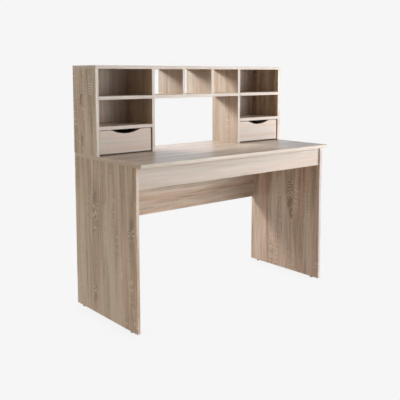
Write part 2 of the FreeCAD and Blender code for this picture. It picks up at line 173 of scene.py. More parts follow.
class Net:
    """A shader node tree that is built by short calls."""

    def __init__(self, tree: bpy.types.NodeTree) -> None:
        """Takes over an empty tree.

        Args:
            tree: The tree of a material, a world or a node group.
        """
        self.tree = tree

    def feed(self, node: bpy.types.Node, inputs: dict) -> Outputs:
        """Links a node's inputs, or sets their own values.

        Args:
            node: The node.
            inputs: What each input takes, by its name or number.

        Returns:
            The node's outputs.
        """
        for key, value in inputs.items():
            socket = node.inputs[key]
            if isinstance(value, Value):
                self.tree.links.new(value.socket, socket)
            elif socket.type == "RGBA":
                socket.default_value = (*value, 1.0)
            else:
                socket.default_value = value
        return Outputs(self, node)

    def add(self, kind: str, inputs: dict | None = None, **settings: object) -> Outputs:
        """Adds a node.

        Args:
            kind: The node's type, without the leading ShaderNode.
            inputs: What each input takes, by its name or number.
            **settings: Values of the node's own properties.

        Returns:
            The node's outputs.
        """
        node = self.tree.nodes.new("ShaderNode" + kind)
        for name, value in settings.items():
            setattr(node, name, value)
        return self.feed(node, inputs or {})

    def use(self, effect: bpy.types.NodeTree, inputs: dict) -> Outputs:
        """Places a shared effect in this tree.

        Args:
            effect: The node group.
            inputs: What each of its inputs takes, by name.

        Returns:
            What the effect gives out.
        """
        node = self.tree.nodes.new("ShaderNodeGroup")
        node.node_tree = effect
        return self.feed(node, inputs)

    def math(self, operation: str, first: Feed, second: Feed = 0.0, clamp: bool = False) -> Value:
        """Adds a Math node and gives its result."""
        return self.add("Math", {0: first, 1: second}, operation=operation, use_clamp=clamp)[0]

    def vector(self, operation: str, first: Feed, second: Feed = (0.0, 0.0, 0.0)) -> Value:
        """Adds a Vector Math node and gives its vector."""
        return self.add("VectorMath", {0: first, 1: second}, operation=operation)[0]

    def mix(self, share: Feed, first: Feed, second: Feed) -> Value:
        """Mixes two colours: the share is how much of the second one shows."""
        return self.add("Mix", {0: share, 6: first, 7: second}, data_type="RGBA", clamp_factor=True)[2]

    def switch(self, share: Feed, first: Feed, second: Feed) -> Value:
        """Mixes two vectors."""
        return self.add("Mix", {0: share, 4: first, 5: second}, data_type="VECTOR")[1]

    def ramp(self, value: Feed, low: Feed, high: Feed, start: Feed = 0.0, end: Feed = 1.0) -> Value:
        """Maps low to high onto start to end, eased and held at both ends.

        Args:
            value: The value to map.
            low: The value that gives start.
            high: The value that gives end.
            start: The result at low.
            end: The result at high.

        Returns:
            The mapped value.
        """
        inputs = {0: value, 1: low, 2: high, 3: start, 4: end}
        return self.add("MapRange", inputs, interpolation_type="SMOOTHSTEP")[0]

    def noise(self, place: Feed, layer: Layer) -> Value:
        """Gives a layer's noise at a place in metres."""
        inputs = {
            "Vector": self.vector("MULTIPLY", place, (layer.along, layer.across, layer.across)),
            "Scale": 1.0, "Detail": layer.detail, "Roughness": layer.roughness,
        }
        return self.add("TexNoise", inputs)[0]

    def swing(self, place: Feed, layer: Layer) -> Value:
        """Gives a layer's noise with its middle at zero."""
        return self.noise(place, layer) - 0.5

    def mask(self, place: Feed, layer: Layer) -> Value:
        """Gives a layer's mask."""
        return self.ramp(self.noise(place, layer), layer.low, layer.high, layer.least, 1.0)

    def scaled(self, place: Feed, scale: Feed) -> Value:
        """Multiplies a vector by a number."""
        return self.add("VectorMath", {0: place, "Scale": scale}, operation="SCALE")[0]

    def split(self, place: Feed) -> tuple[Value, ...]:
        """Gives a vector's three numbers."""
        parts = self.add("SeparateXYZ", {0: place})
        return tuple(parts[axis] for axis in range(3))

    def join(self, x: Feed, y: Feed, z: Feed) -> Value:
        """Makes a vector of three numbers."""
        return self.add("CombineXYZ", {0: x, 1: y, 2: z})[0]

    def board_place(self, centre: Point, grain: Grain) -> Value:
        """Reads the surface in a board's own terms.

        Args:
            centre: The board's middle.
            grain: How the board lies.

        Returns:
            The place from the board's middle, as along, across and through.
        """
        coordinates, offset = self.add("TexCoord")["Object"], tuple(-value for value in centre)
        numbers = self.split(self.add("Mapping", {"Vector": coordinates, "Location": offset})[0])
        return self.join(*(numbers[axis] for axis in grain.value))

    def by_ray(self, seen: Value, sheen: Value, other: Value) -> Value:
        """Picks a shader by the kind of ray.

        Args:
            seen: What the camera sees.
            sheen: What glossy surfaces mirror.
            other: What all other light meets.

        Returns:
            The picked shader.
        """
        path = self.add("LightPath")
        unseen = self.add("MixShader", {0: path["Is Glossy Ray"], 1: other, 2: sheen})[0]
        return self.add("MixShader", {0: path["Is Camera Ray"], 1: unseen, 2: seen})[0]

    def surface(self, colour: Feed, rough: Feed, bump: Value, metallic: float = 0.0) -> None:
        """Ends a material in its surface.

        Args:
            colour: The base colour.
            rough: The roughness.
            bump: The bent normal.
            metallic: 1 for metal and 0 for the rest.
        """
        shader = self.add("BsdfPrincipled", {
            "Base Color": colour, "Metallic": metallic, "Roughness": rough, "Normal": bump,
        })
        self.add("OutputMaterial", {"Surface": shader[0]})

    def bump(self, height: Value, strength: float, depth: float) -> Value:
        """Turns a height from 0 to 1 into a bent normal.

        Args:
            height: The height.
            strength: How much the normal is bent.
            depth: The real length of the height's full range.

        Returns:
            The bent normal.
        """
        return self.add("Bump", {"Height": height, "Strength": strength, "Distance": depth})[0]


def new_material(name: str) -> tuple[bpy.types.Material, Net]:
    """Starts a material with no nodes.

    Args:
        name: The material's name.

    Returns:
        The material, and the net of its tree.
    """
    material = bpy.data.materials.new(name)
    material.use_nodes = True
    material.node_tree.nodes.clear()
    return material, Net(material.node_tree)


class EffectNet(Net):
    """The tree of a shader effect that several materials share: a node group with named sockets."""

    def __init__(self, name: str, inputs: dict[str, Kind], outputs: dict[str, Kind]) -> None:
        """Starts the group.

        Args:
            name: The group's name.
            inputs: Its inputs, by name.
            outputs: Its outputs, by name.
        """
        super().__init__(bpy.data.node_groups.new(name, "ShaderNodeTree"))
        for sockets, way in ((inputs, "INPUT"), (outputs, "OUTPUT")):
            for label, kind in sockets.items():
                self.tree.interface.new_socket(name=label, in_out=way, socket_type=kind.value)
        self.given = Outputs(self, self.tree.nodes.new("NodeGroupInput"))

    def give(self, results: dict[str, Value]) -> bpy.types.NodeTree:
        """Ends the group.

        Args:
            results: What each of its outputs gives, by name.

        Returns:
            The finished group.
        """
        self.feed(self.tree.nodes.new("NodeGroupOutput"), results)
        return self.tree


@dataclass(frozen=True)
class BoardEdges:
    """The map of a board's banded edges.

    Attributes:
        wobble: How uneven the pale strip along a sharp edge is: rubbed paler, with a painted highlight on
            top.
        least_edge_strip: What is added to that noise for the strip's width, as a share of the band's
            thickness.
    """

    wobble: Layer = Layer(60.0, 60.0, 3.0)
    least_edge_strip: float = 0.6

    def build(self) -> bpy.types.NodeTree:
        """Builds the effect.

        Returns:
            A group that gives the place to read the print at, masks of the edge band and of its glue
            line, and how near the surface is to a sharp edge.
        """
        net = EffectNet(
            "board_edges",
            {"Place": Kind.PLACE, "Half": Kind.PLACE, "Band": Kind.NUMBER, "Line": Kind.NUMBER},
            {"Print place": Kind.PLACE, "Banded": Kind.NUMBER, "Glue line": Kind.NUMBER, "Edge rub and highlight": Kind.NUMBER},
        )
        place, band = net.given["Place"], net.given["Band"]
        gap = net.vector("SUBTRACT", net.given["Half"], net.vector("ABSOLUTE", place))
        along_gap, across_gap, through_gap = net.split(gap)
        nearer = net.math("MINIMUM", along_gap, across_gap)
        farther = net.math("MAXIMUM", along_gap, across_gap)
        edge = net.math("MAXIMUM", nearer, net.math("MINIMUM", farther, through_gap))
        reach = band * (net.noise(place, self.wobble) + self.least_edge_strip)
        # The band on a board's end runs across the board, so its print is read turned.
        end = net.math("LESS_THAN", along_gap, band)
        along, across, through = net.split(place)
        return net.give({
            "Print place": net.switch(end, place, net.join(across, along, through)),
            "Banded": net.math("LESS_THAN", nearer, band),
            "Glue line": net.ramp(abs(nearer - band), 0.0, net.given["Line"], 1.0, 0.0),
            # The pale strip along sharp edges: rubbed edges, with a painted highlight where the arrises catch
            # light.
            "Edge rub and highlight": net.ramp(edge, 0.0, reach, 1.0, 0.0),
        })


@dataclass(frozen=True)
class OakPrint:
    """The rough-sawn oak print.

    Attributes:
        seed_slant: How far a seed shifts the print across the grain, as a share of its shift along it.
        sway: Slow swings of the grain to the side.
        sway_reach: How far the grain swings.
        hue: Stretches of the cool ground in the warm one.
        bands: Broad pale and dark bands.
        streaks: Narrow streaks.
        fibres: Fine fibres.
        strengths: How much the bands, the streaks and the fibres add to the tone.
        tone_reach: The tone at which the pale or the dark colour is at its most.
        most_pale: The largest share of the pale colour.
        most_dark: The largest share of the dark colour.
        pores: Dark pores.
        pore_bands: The bands' noise that gives few pores, and the one that gives all.
        few_pores: The share of pores in the pale bands.
        pore_share: How dark the pores are.
        sawn: Short marks of the saw across the grain.
        sawn_patches: Where these marks are.
        sawn_share: How pale these marks are.
        fibre_height: The fibres' share of the emboss.
        pore_matt: How much more matt the pores are.
    """

    seed_slant: float = 0.37
    sway: Layer = Layer(2.2, 7.0)
    sway_reach: float = 34.0 * MM
    hue: Layer = Layer(0.7, 14.0, 2.0, 0.6, low=0.40, high=0.60)
    bands: Layer = Layer(1.2, 20.0, 3.0, 0.6)
    streaks: Layer = Layer(3.6, 74.0, 2.0, 0.55)
    fibres: Layer = Layer(9.0, 680.0, 1.0)
    strengths: tuple[float, float, float] = (1.7, 1.1, 0.8)
    tone_reach: float = 0.5
    most_pale: float = 0.60
    most_dark: float = 0.55
    pores: Layer = Layer(34.0, 1500.0, 0.0, low=0.62, high=0.72)
    pore_bands: tuple[float, float] = (0.60, 0.42)
    few_pores: float = 0.25
    pore_share: float = 0.45
    sawn: Layer = Layer(125.0, 20.0, 1.0, low=0.50, high=0.62)
    sawn_patches: Layer = Layer(2.6, 22.0, 1.0, low=0.57, high=0.68)
    sawn_share: float = 0.30
    fibre_height: float = 0.35
    pore_matt: float = 0.6

    def build(self) -> bpy.types.NodeTree:
        """Builds the effect.

        Returns:
            A group that gives the print's colour, its embossed height and how matt it is.
        """
        net = EffectNet(
            "oak_print",
            {"Place": Kind.PLACE, "Seed": Kind.NUMBER, "Warm": Kind.COLOUR, "Cool": Kind.COLOUR,
             "Pale": Kind.COLOUR, "Dark": Kind.COLOUR, "Depth": Kind.NUMBER, "Fineness": Kind.NUMBER},
            {"Colour": Kind.COLOUR, "Height": Kind.NUMBER, "Matt": Kind.NUMBER},
        )
        seed, depth, fineness = net.given["Seed"], net.given["Depth"], net.given["Fineness"]
        place = net.vector("ADD", net.given["Place"], net.join(seed, seed * self.seed_slant, 0.0))
        sway = net.swing(place, self.sway) * self.sway_reach
        place = net.vector("ADD", place, net.join(0.0, sway, 0.0))
        narrowed = net.vector("MULTIPLY", place, net.join(1.0, fineness, fineness))
        bands, fibres = net.noise(narrowed, self.bands), net.noise(place, self.fibres)
        band_strength, streak_strength, fibre_strength = self.strengths
        tone = (bands - 0.5) * band_strength + net.swing(place, self.streaks) * streak_strength
        tone = (tone + (fibres - 0.5) * fibre_strength) * depth
        pale = net.ramp(tone, 0.0, self.tone_reach, 0.0, self.most_pale)
        dark = net.ramp(tone, 0.0, -self.tone_reach, 0.0, self.most_dark)
        pores = net.mask(place, self.pores) * net.ramp(bands, *self.pore_bands, self.few_pores, 1.0)
        sawn = net.mask(place, self.sawn) * net.mask(place, self.sawn_patches)
        colour = net.mix(net.mask(narrowed, self.hue), net.given["Warm"], net.given["Cool"])
        for share, tint in (
            (pale, "Pale"),
            (dark, "Dark"),
            (pores * (depth * self.pore_share), "Dark"),
            (sawn * (depth * self.sawn_share), "Pale"),
        ):
            colour = net.mix(share, colour, net.given[tint])
        return net.give({
            "Colour": colour,
            "Height": fibres * self.fibre_height - (pores + sawn),
            "Matt": net.math("ADD", pores * self.pore_matt, fibres, clamp=True),
        })


FIGURE_INPUTS = {"Place": Kind.PLACE, "Centre": Kind.PLACE, "Length": Kind.NUMBER, "Width": Kind.NUMBER}
FACE_DEPTH = 2.0 * MM


def figure_place(net: EffectNet) -> tuple[Value, Value, Value]:
    """Reads the surface from the middle of a figure.

    Args:
        net: The net of the figure's effect, which takes the figure inputs.

    Returns:
        The place along and across the grain, and a mask of the board's face that the figure is on.
    """
    along, across, through = net.split(net.vector("SUBTRACT", net.given["Place"], net.given["Centre"]))
    return along, across, net.math("LESS_THAN", abs(through), FACE_DEPTH)


@dataclass(frozen=True)
class OakHeart:
    """A heart figure of the print: a knot in a darker strip, with nested chevrons.

    Attributes:
        ripple: Unevenness of the figure's outline.
        ripple_reach: How far the outline moves.
        outline: Where the figure fades, in squared shares of its reach.
        strip: Where the dark strip fades, in the same terms.
        strip_weights: How much the width and the length count for the strip.
        pitch: Distance between chevrons.
        slope: How steep their arms are.
        tip: How rounded their tips are.
        bend: Waves in the chevrons.
        bend_reach: How far the waves go.
        lean: Slow swings of the line that their tips are on.
        lean_reach: How far that line swings.
        knot_length: Reach of the knot along the grain.
        knot_width: Reach of the knot across the grain, as a share of the figure's.
        knot_lean: How far the knot leans.
        knot_bend: How far the waves bend the knot.
        knot_fade: The squared share of its reach where the knot ends.
        fibres: Fine fibres that break the pale lines.
        breaks: Longer breaks of these lines.
        pale_wave: Where a wave's pale line starts and is whole.
        dark_wave: Where its dark line starts and is whole.
        strip_shade: How dark the strip is.
        knot_shade: How dark the knot is.
        line_shade: How dark the dark lines are.
    """

    ripple: Layer = Layer(20.0, 36.0, 2.0, 0.6)
    ripple_reach: float = 26.0 * MM
    outline: tuple[float, float] = (0.35, 1.1)
    strip: tuple[float, float] = (0.1, 1.2)
    strip_weights: tuple[float, float] = (1.6, 0.30)
    pitch: float = 22.0 * MM
    slope: float = 0.85
    tip: float = 5.0 * MM
    bend: Layer = Layer(17.0, 34.0, 2.0, 0.55)
    bend_reach: float = 95.0 * MM
    lean: Layer = Layer(9.0, 9.0, 1.0)
    lean_reach: float = 100.0 * MM
    knot_length: float = 30.0 * MM
    knot_width: float = 0.45
    knot_lean: float = 0.30
    knot_bend: float = 20.0 * MM
    knot_fade: float = 1.5
    fibres: Layer = Layer(8.0, 420.0, 1.0, low=0.36, high=0.60, least=0.45)
    breaks: Layer = Layer(34.0, 44.0, 1.0, low=0.36, high=0.54)
    pale_wave: tuple[float, float] = (0.15, 0.95)
    dark_wave: tuple[float, float] = (0.1, -0.9)
    strip_shade: float = 0.42
    knot_shade: float = 0.85
    line_shade: float = 0.52

    def build(self) -> bpy.types.NodeTree:
        """Builds the effect.

        Returns:
            A group that gives how dark and how pale the figure is at a place.
        """
        net = EffectNet("oak_heart", {**FIGURE_INPUTS, "Knot": Kind.NUMBER},
                        {"Shade": Kind.NUMBER, "Gleam": Kind.NUMBER})
        place, length, width = net.given["Place"], net.given["Length"], net.given["Width"]
        along, across, face = figure_place(net)
        across = across + net.swing(place, self.ripple) * self.ripple_reach
        long_share, wide_share = along / length, across / width
        long_square, wide_square = long_share * long_share, wide_share * wide_share
        wide_weight, long_weight = self.strip_weights
        inside = net.ramp(wide_square + long_square, *self.outline, face, 0.0)
        strip = net.ramp(wide_square * wide_weight + long_square * long_weight, *self.strip, face, 0.0)
        bend = net.swing(place, self.bend)
        apex = across + net.swing(place, self.lean) * self.lean_reach
        fold = net.math("SQRT", apex * apex + self.tip * self.tip)
        run = along + fold * self.slope + bend * self.bend_reach
        wave = net.math("SINE", run * (math.tau / self.pitch))
        knot_along = along - net.given["Knot"] * length + bend * self.knot_bend
        knot_across = (across + knot_along * self.knot_lean) / (width * self.knot_width)
        past = knot_along / self.knot_length
        knot = net.ramp(knot_across * knot_across + past * past, 0.0, self.knot_fade, face, 0.0)
        kept = inside * net.mask(place, self.breaks) * net.mask(place, self.fibres) * (1.0 - knot)
        lines = net.ramp(wave, *self.dark_wave) * inside
        shade = strip * self.strip_shade + knot * self.knot_shade
        return net.give({
            "Shade": net.math("ADD", shade, lines * self.line_shade, clamp=True),
            "Gleam": net.ramp(wave, *self.pale_wave) * kept,
        })


@dataclass(frozen=True)
class SawPatch:
    """A patch of saw marks: short pale lines across the grain, like the rungs of a ladder.

    Attributes:
        drift: Slow swings of the patch.
        side_drift: How far it swings across the grain.
        rung_drift: How far its rungs swing along the grain.
        outline: Where the patch fades, as the fourth power of a share of its reach.
        pitch: Distance between rungs.
        strip_share: How pale the patch is between its rungs.
        rung: Where a wave's rung starts and is whole.
        breaks: Breaks in the rungs.
    """

    drift: Layer = Layer(6.0, 22.0, 1.0)
    side_drift: float = 10.0 * MM
    rung_drift: float = 14.0 * MM
    outline: tuple[float, float] = (0.3, 1.1)
    pitch: float = 11.5 * MM
    strip_share: float = 0.22
    rung: tuple[float, float] = (-0.1, 0.8)
    breaks: Layer = Layer(42.0, 34.0, 0.0, low=0.36, high=0.56)

    def build(self) -> bpy.types.NodeTree:
        """Builds the effect.

        Returns:
            A group that gives how pale the marks are at a place.
        """
        net = EffectNet("saw_marks", FIGURE_INPUTS, {"Gleam": Kind.NUMBER})
        place = net.given["Place"]
        along, across, face = figure_place(net)
        drift = net.swing(place, self.drift)
        wide_share = (across + drift * self.side_drift) / net.given["Width"]
        long_share = along / net.given["Length"]
        corner = net.math("POWER", abs(wide_share), 4.0) + net.math("POWER", abs(long_share), 4.0)
        inside = net.ramp(corner, *self.outline, face, 0.0)
        wave = net.math("SINE", (along + drift * self.rung_drift) * (math.tau / self.pitch))
        rungs = net.ramp(wave, *self.rung, 0.0, 1.0 - self.strip_share) * net.mask(place, self.breaks)
        return net.give({"Gleam": (rungs + self.strip_share) * inside})


@dataclass(frozen=True)
class PressedFibres:
    """Pressed wood: chips or fibres of mixed tones.

    Attributes:
        dark_chips: The chips' random tones that are at least and at most dark, and how dark the latter are.
        pale_chips: The same for the pale ones.
        clouds: The same for dark clouds over the chips.
        cloud_size: Clouds per chip.
        cloud_detail: Octaves of the clouds past the first.
    """

    dark_chips: tuple[float, float, float] = (0.55, 1.0, 0.7)
    pale_chips: tuple[float, float, float] = (0.4, 0.0, 0.6)
    clouds: tuple[float, float, float] = (0.4, 0.7, 0.25)
    cloud_size: float = 0.35
    cloud_detail: float = 4.0

    def build(self) -> bpy.types.NodeTree:
        """Builds the effect.

        Returns:
            A group that gives the pressed wood's colour and height.
        """
        net = EffectNet(
            "pressed_fibres",
            {"Place": Kind.PLACE, "Chip": Kind.NUMBER, "Ground": Kind.COLOUR, "Dark": Kind.COLOUR,
             "Pale": Kind.COLOUR},
            {"Colour": Kind.COLOUR, "Height": Kind.NUMBER},
        )
        place = net.scaled(net.given["Place"], net.given["Chip"])
        cells = net.add("TexVoronoi", {"Vector": place, "Scale": 1.0, "Randomness": 1.0})
        chip = net.split(cells["Color"])[0]
        cloud_inputs = {"Vector": place, "Scale": self.cloud_size, "Detail": self.cloud_detail}
        cloud = net.add("TexNoise", cloud_inputs)[0]
        colour = net.given["Ground"]
        for tone, (low, high, share), tint in (
            (chip, self.dark_chips, "Dark"),
            (chip, self.pale_chips, "Pale"),
            (cloud, self.clouds, "Dark"),
        ):
            colour = net.mix(net.ramp(tone, low, high, 0.0, share), colour, net.given[tint])
        return net.give({"Colour": colour, "Height": cells["Distance"]})


@dataclass(frozen=True)
class Scuffs:
    """Fine scratches and clouded shine of metal and plastic.

    Attributes:
        scratches: The scratches, in marks of the finish's own scale.
        clouds: The clouds, in the same terms.
    """

    scratches: Layer = Layer(0.4, 6.0, low=0.58, high=0.72)
    clouds: Layer = Layer(0.5, 0.5, 3.0)

    def build(self) -> bpy.types.NodeTree:
        """Builds the effect.

        Returns:
            A group that gives a mask of scratches, a mask of clouds and a height.
        """
        net = EffectNet(
            "fine_scuffs",
            {"Place": Kind.PLACE, "Scale": Kind.NUMBER},
            {"Scratch": Kind.NUMBER, "Cloud": Kind.NUMBER, "Height": Kind.NUMBER},
        )
        place = net.scaled(net.given["Place"], net.given["Scale"])
        scratch, cloud = net.mask(place, self.scratches), net.noise(place, self.clouds)
        return net.give({"Scratch": scratch, "Cloud": cloud, "Height": cloud - scratch})


class Effects:
    """The effects that several finishes share, each built once as a shader node group."""

    def __init__(self) -> None:
        """Builds every shared effect."""
        self.board_edges = BoardEdges().build()
        self.oak_print = OakPrint().build()
        self.oak_heart = OakHeart().build()
        self.saw_marks = SawPatch().build()
        self.fibres = PressedFibres().build()
        self.scuffs = Scuffs().build()


@dataclass(frozen=True)
class Figure(ABC):
    """A figure at a chosen place in a board's print.

    Attributes:
        point: Its middle, on the board.
        length: Its reach along the grain, to each side of the middle.
        width: Its reach across the grain, to each side of the middle.
    """

    point: Point
    length: float
    width: float

    def inputs(self, place: Value, centre: Vector, grain: Grain) -> dict:
        """Gives the inputs that every figure's effect takes.

        Args:
            place: The surface in the board's own terms.
            centre: The board's middle.
            grain: How the board lies.

        Returns:
            The inputs' values by name.
        """
        middle = grain.order(Vector(self.point) - centre)
        return {"Place": place, "Centre": middle, "Length": self.length, "Width": self.width}

    @abstractmethod
    def draw(self, net: Net, effects: Effects, inputs: dict, colour: Value, foil: "OakFoil") -> Value:
        """Draws the figure over a colour.

        Args:
            net: The net of the board's material.
            effects: The shared effects.
            inputs: The inputs that every figure's effect takes.
            colour: The colour under the figure.
            foil: The foil whose dark and pale tones it has.

        Returns:
            The new colour.
        """


@dataclass(frozen=True)
class Heart(Figure):
    """A dark knot with nested pale chevrons.

    Attributes:
        knot: Where its knot is, as a share of its length from the middle.
    """

    knot: float

    def draw(self, net: Net, effects: Effects, inputs: dict, colour: Value, foil: "OakFoil") -> Value:
        """Draws the dark knot and its strip, then the pale lines over them."""
        figure = net.use(effects.oak_heart, {**inputs, "Knot": self.knot})
        shaded = net.mix(figure["Shade"], colour, foil.dark)
        return net.mix(figure["Gleam"] * foil.gleam, shaded, foil.pale)


@dataclass(frozen=True)
class SawMarks(Figure):
    """A patch of pale saw marks across the grain."""

    def draw(self, net: Net, effects: Effects, inputs: dict, colour: Value, foil: "OakFoil") -> Value:
        """Draws the pale marks."""
        figure = net.use(effects.saw_marks, inputs)
        return net.mix(figure["Gleam"] * foil.gleam, colour, foil.pale)


@dataclass(frozen=True)
class OakFoil:
    """Satin melamine foil with a rough-sawn oak print, edge bands and a fine emboss.

    Attributes:
        warm: Pinkish brown ground.
        cool: Yellowish grey ground.
        pale: Light streaks and saw marks.
        dark: Pores, heart wood and dark streaks.
        depth: How strong the print is.
        fineness: How much narrower than usual its bands are.
        gleam: How strong the pale parts of its figures are.
        band: Thickness of the edge bands.
        edge: Pale tone of the edge bands.
        band_paleness: How much of that tone the bands have.
        glue_line: Width of the dark line beside a band.
        glue_share: How dark that line is.
        edge_rub_and_highlight: How much paler sharp edges are, rubbed and with a painted highlight.
        roughness: Roughness of the foil's smooth parts.
        matt_range: How much rougher its most matt parts are.
        emboss: Depth of the pores.
        emboss_strength: How much the emboss bends the light.
    """

    warm: Colour = (0.556, 0.396, 0.262)
    cool: Colour = (0.558, 0.448, 0.303)
    pale: Colour = (0.745, 0.628, 0.502)
    dark: Colour = (0.236, 0.142, 0.070)
    depth: float = 1.0
    fineness: float = 1.0
    gleam: float = 0.95
    band: float = 0.8 * MM
    edge: Colour = (0.820, 0.740, 0.620)
    band_paleness: float = 0.32
    glue_line: float = 0.15 * MM
    glue_share: float = 0.35
    edge_rub_and_highlight: float = 0.12
    roughness: float = 0.33
    matt_range: float = 0.14
    emboss: float = 0.06 * MM
    emboss_strength: float = 0.6

    def printed(self, net: Net, effects: Effects, place: Value, seed: float) -> Outputs:
        """Reads the foil's print.

        Args:
            net: The net of the material.
            effects: The shared effects.
            place: The surface in the board's own terms.
            seed: Shifts the print, so that no two boards match.

        Returns:
            The print's colour, height and how matt it is.
        """
        return net.use(effects.oak_print, {
            "Place": place, "Seed": seed, "Warm": self.warm, "Cool": self.cool, "Pale": self.pale,
            "Dark": self.dark, "Depth": self.depth, "Fineness": self.fineness,
        })

    def material(self, effects: Effects, node: str, grain: Grain, seed: float,
                 figures: tuple[Figure, ...] = ()) -> bpy.types.Material:
        """Makes the foil of one board.

        Args:
            effects: The shared effects.
            node: The board's node.
            grain: How the board lies.
            seed: Shifts the print, so that no two boards match.
            figures: The figures in the board's print.

        Returns:
            The board's material.
        """
        low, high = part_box(node)
        centre = (low + high) / 2
        material, net = new_material(node + "_foil")
        place = net.board_place(tuple(centre), grain)
        half = grain.order((high - low) / 2)
        edges = net.use(effects.board_edges, {
            "Place": place, "Half": half, "Band": self.band, "Line": self.glue_line,
        })
        printed = self.printed(net, effects, edges["Print place"], seed)
        colour = printed["Colour"]
        for figure in figures:
            colour = figure.draw(net, effects, figure.inputs(place, centre, grain), colour, self)
        colour = net.mix(edges["Banded"] * self.band_paleness, colour, self.edge)
        # Paler sharp edges: rubbing, with a painted highlight on the arrises.
        colour = net.mix(edges["Edge rub and highlight"] * self.edge_rub_and_highlight, colour, self.pale)
        colour = net.mix(edges["Glue line"] * self.glue_share, colour, self.dark)
        rough = printed["Matt"] * self.matt_range + self.roughness
        net.surface(colour, rough, net.bump(printed["Height"], self.emboss_strength, self.emboss))
        return material


@dataclass(frozen=True)
class PressedBoard:
    """Hardboard or fibreboard, which may have the oak print on one face.

    Attributes:
        ground: The pressed wood's main tone.
        dark: Its dark fibres.
        pale: Its pale fibres.
        chips: Fibres per metre.
        stretch: Length of the fibres, as a divisor of the chips along the grain.
        roughness: Roughness of the bare wood.
        fibre_depth: Depth of the fibres.
        fibre_strength: How much the fibres bend the light.
        print_foil: The foil whose print is on the face that looks forward, or None.
        print_depth: How far from that face its print reaches.
        print_roughness: Roughness of the print.
    """

    ground: Colour = (0.270, 0.182, 0.118)
    dark: Colour = (0.205, 0.130, 0.080)
    pale: Colour = (0.350, 0.245, 0.162)
    chips: float = 1900.0
    stretch: float = 2.0
    roughness: float = 0.62
    fibre_depth: float = 0.05 * MM
    fibre_strength: float = 0.3
    print_foil: OakFoil | None = None
    print_depth: float = 0.2 * MM
    print_roughness: float = 0.45

    def material(self, effects: Effects, node: str, grain: Grain, seed: float) -> bpy.types.Material:
        """Makes the board's material.

        Args:
            effects: The shared effects.
            node: The board's node.
            grain: How the board lies.
            seed: Shifts the print.

        Returns:
            The board's material.
        """
        low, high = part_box(node)
        material, net = new_material(node + "_board")
        place = net.board_place(tuple((low + high) / 2), grain)
        pressed = net.use(effects.fibres, {
            "Place": net.vector("MULTIPLY", place, (1.0 / self.stretch, 1.0, 1.0)),
            "Chip": self.chips, "Ground": self.ground, "Dark": self.dark, "Pale": self.pale,
        })
        colour, rough = pressed["Colour"], self.roughness
        if self.print_foil:
            printed = self.print_foil.printed(net, effects, place, seed)
            half_depth = grain.order((high - low) / 2)[2]
            front = net.math("LESS_THAN", net.split(place)[2], self.print_depth - half_depth)
            colour = net.mix(front, colour, printed["Colour"])
            rough = self.roughness - front * (self.roughness - self.print_roughness)
        net.surface(colour, rough, net.bump(pressed["Height"], self.fibre_strength, self.fibre_depth))
        return material


@dataclass(frozen=True)
class SmallFinish:
    """Metal, plastic or turned beech of a small fitting.

    Attributes:
        name: The finish's name.
        colour: Its main colour.
        mark: The colour of its scratches or grain.
        metallic: 1 for metal and 0 for the rest.
        roughness: Its roughness where it is smoothest.
        scale: Marks per metre.
        mark_share: How much the marks show.
        cloud_share: How much rougher its clouds are.
        scratch_depth: Depth of its scratches.
        scratch_strength: How much the scratches bend the light.
    """

    name: str
    colour: Colour
    mark: Colour
    metallic: float
    roughness: float
    scale: float = 900.0
    mark_share: float = 0.5
    cloud_share: float = 0.2
    scratch_depth: float = 0.02 * MM
    scratch_strength: float = 0.3

    def material(self, effects: Effects) -> bpy.types.Material:
        """Makes the finish.

        Args:
            effects: The shared effects.

        Returns:
            The material.
        """
        material, net = new_material(self.name)
        scuffs = net.use(effects.scuffs, {"Place": net.add("TexCoord")["Object"], "Scale": self.scale})
        colour = net.mix(scuffs["Scratch"] * self.mark_share, self.colour, self.mark)
        rough = net.math("ADD", scuffs["Cloud"] * self.cloud_share, self.roughness, clamp=True)
        bump = net.bump(scuffs["Height"], self.scratch_strength, self.scratch_depth)
        net.surface(colour, rough, bump, self.metallic)
        return material


HUTCH_SIDE_FOIL = OakFoil(warm=(0.585, 0.400, 0.250), cool=(0.572, 0.456, 0.314), depth=2.1)
HUTCH_FOIL = OakFoil(warm=(0.520, 0.386, 0.280), cool=(0.516, 0.420, 0.321), edge=(0.790, 0.720, 0.640))
# The backs' print is paler and bluer than the boards': partly its own tone, partly a painted reflection of
# the bright studio.
BACK_FOIL = OakFoil(warm=(0.568, 0.425, 0.326), cool=(0.575, 0.490, 0.388), pale=(0.760, 0.655, 0.545))
LEFT_PANEL_FOIL = OakFoil(depth=2.40, band_paleness=0.05)
# The right panel's foil is redder and lighter than the left's: partly its own tone, partly painted light on
# its shaded inner face.
RIGHT_PANEL_FOIL = OakFoil(warm=(0.594, 0.404, 0.285), cool=(0.584, 0.450, 0.328), depth=1.65,
                           edge=(0.470, 0.410, 0.410), band_paleness=0.50)
# The top's foil is bluer and greyer than the panels': a painted sheen of the top, seen at a grazing angle.
TABLE_TOP_FOIL = OakFoil(warm=(0.540, 0.390, 0.289), cool=(0.548, 0.446, 0.332), band_paleness=0.10)
# The apron's foil is paler and bluer, with a calmer print: partly its own tone, partly a painted sheen of its
# forward face.
APRON_FOIL = OakFoil(warm=(0.532, 0.410, 0.316), cool=(0.538, 0.448, 0.360), pale=(0.750, 0.665, 0.575),
                     depth=0.50, fineness=1.8)
MODESTY_FOIL = OakFoil(warm=(0.560, 0.392, 0.272), cool=(0.556, 0.434, 0.316), depth=1.35, fineness=1.5)
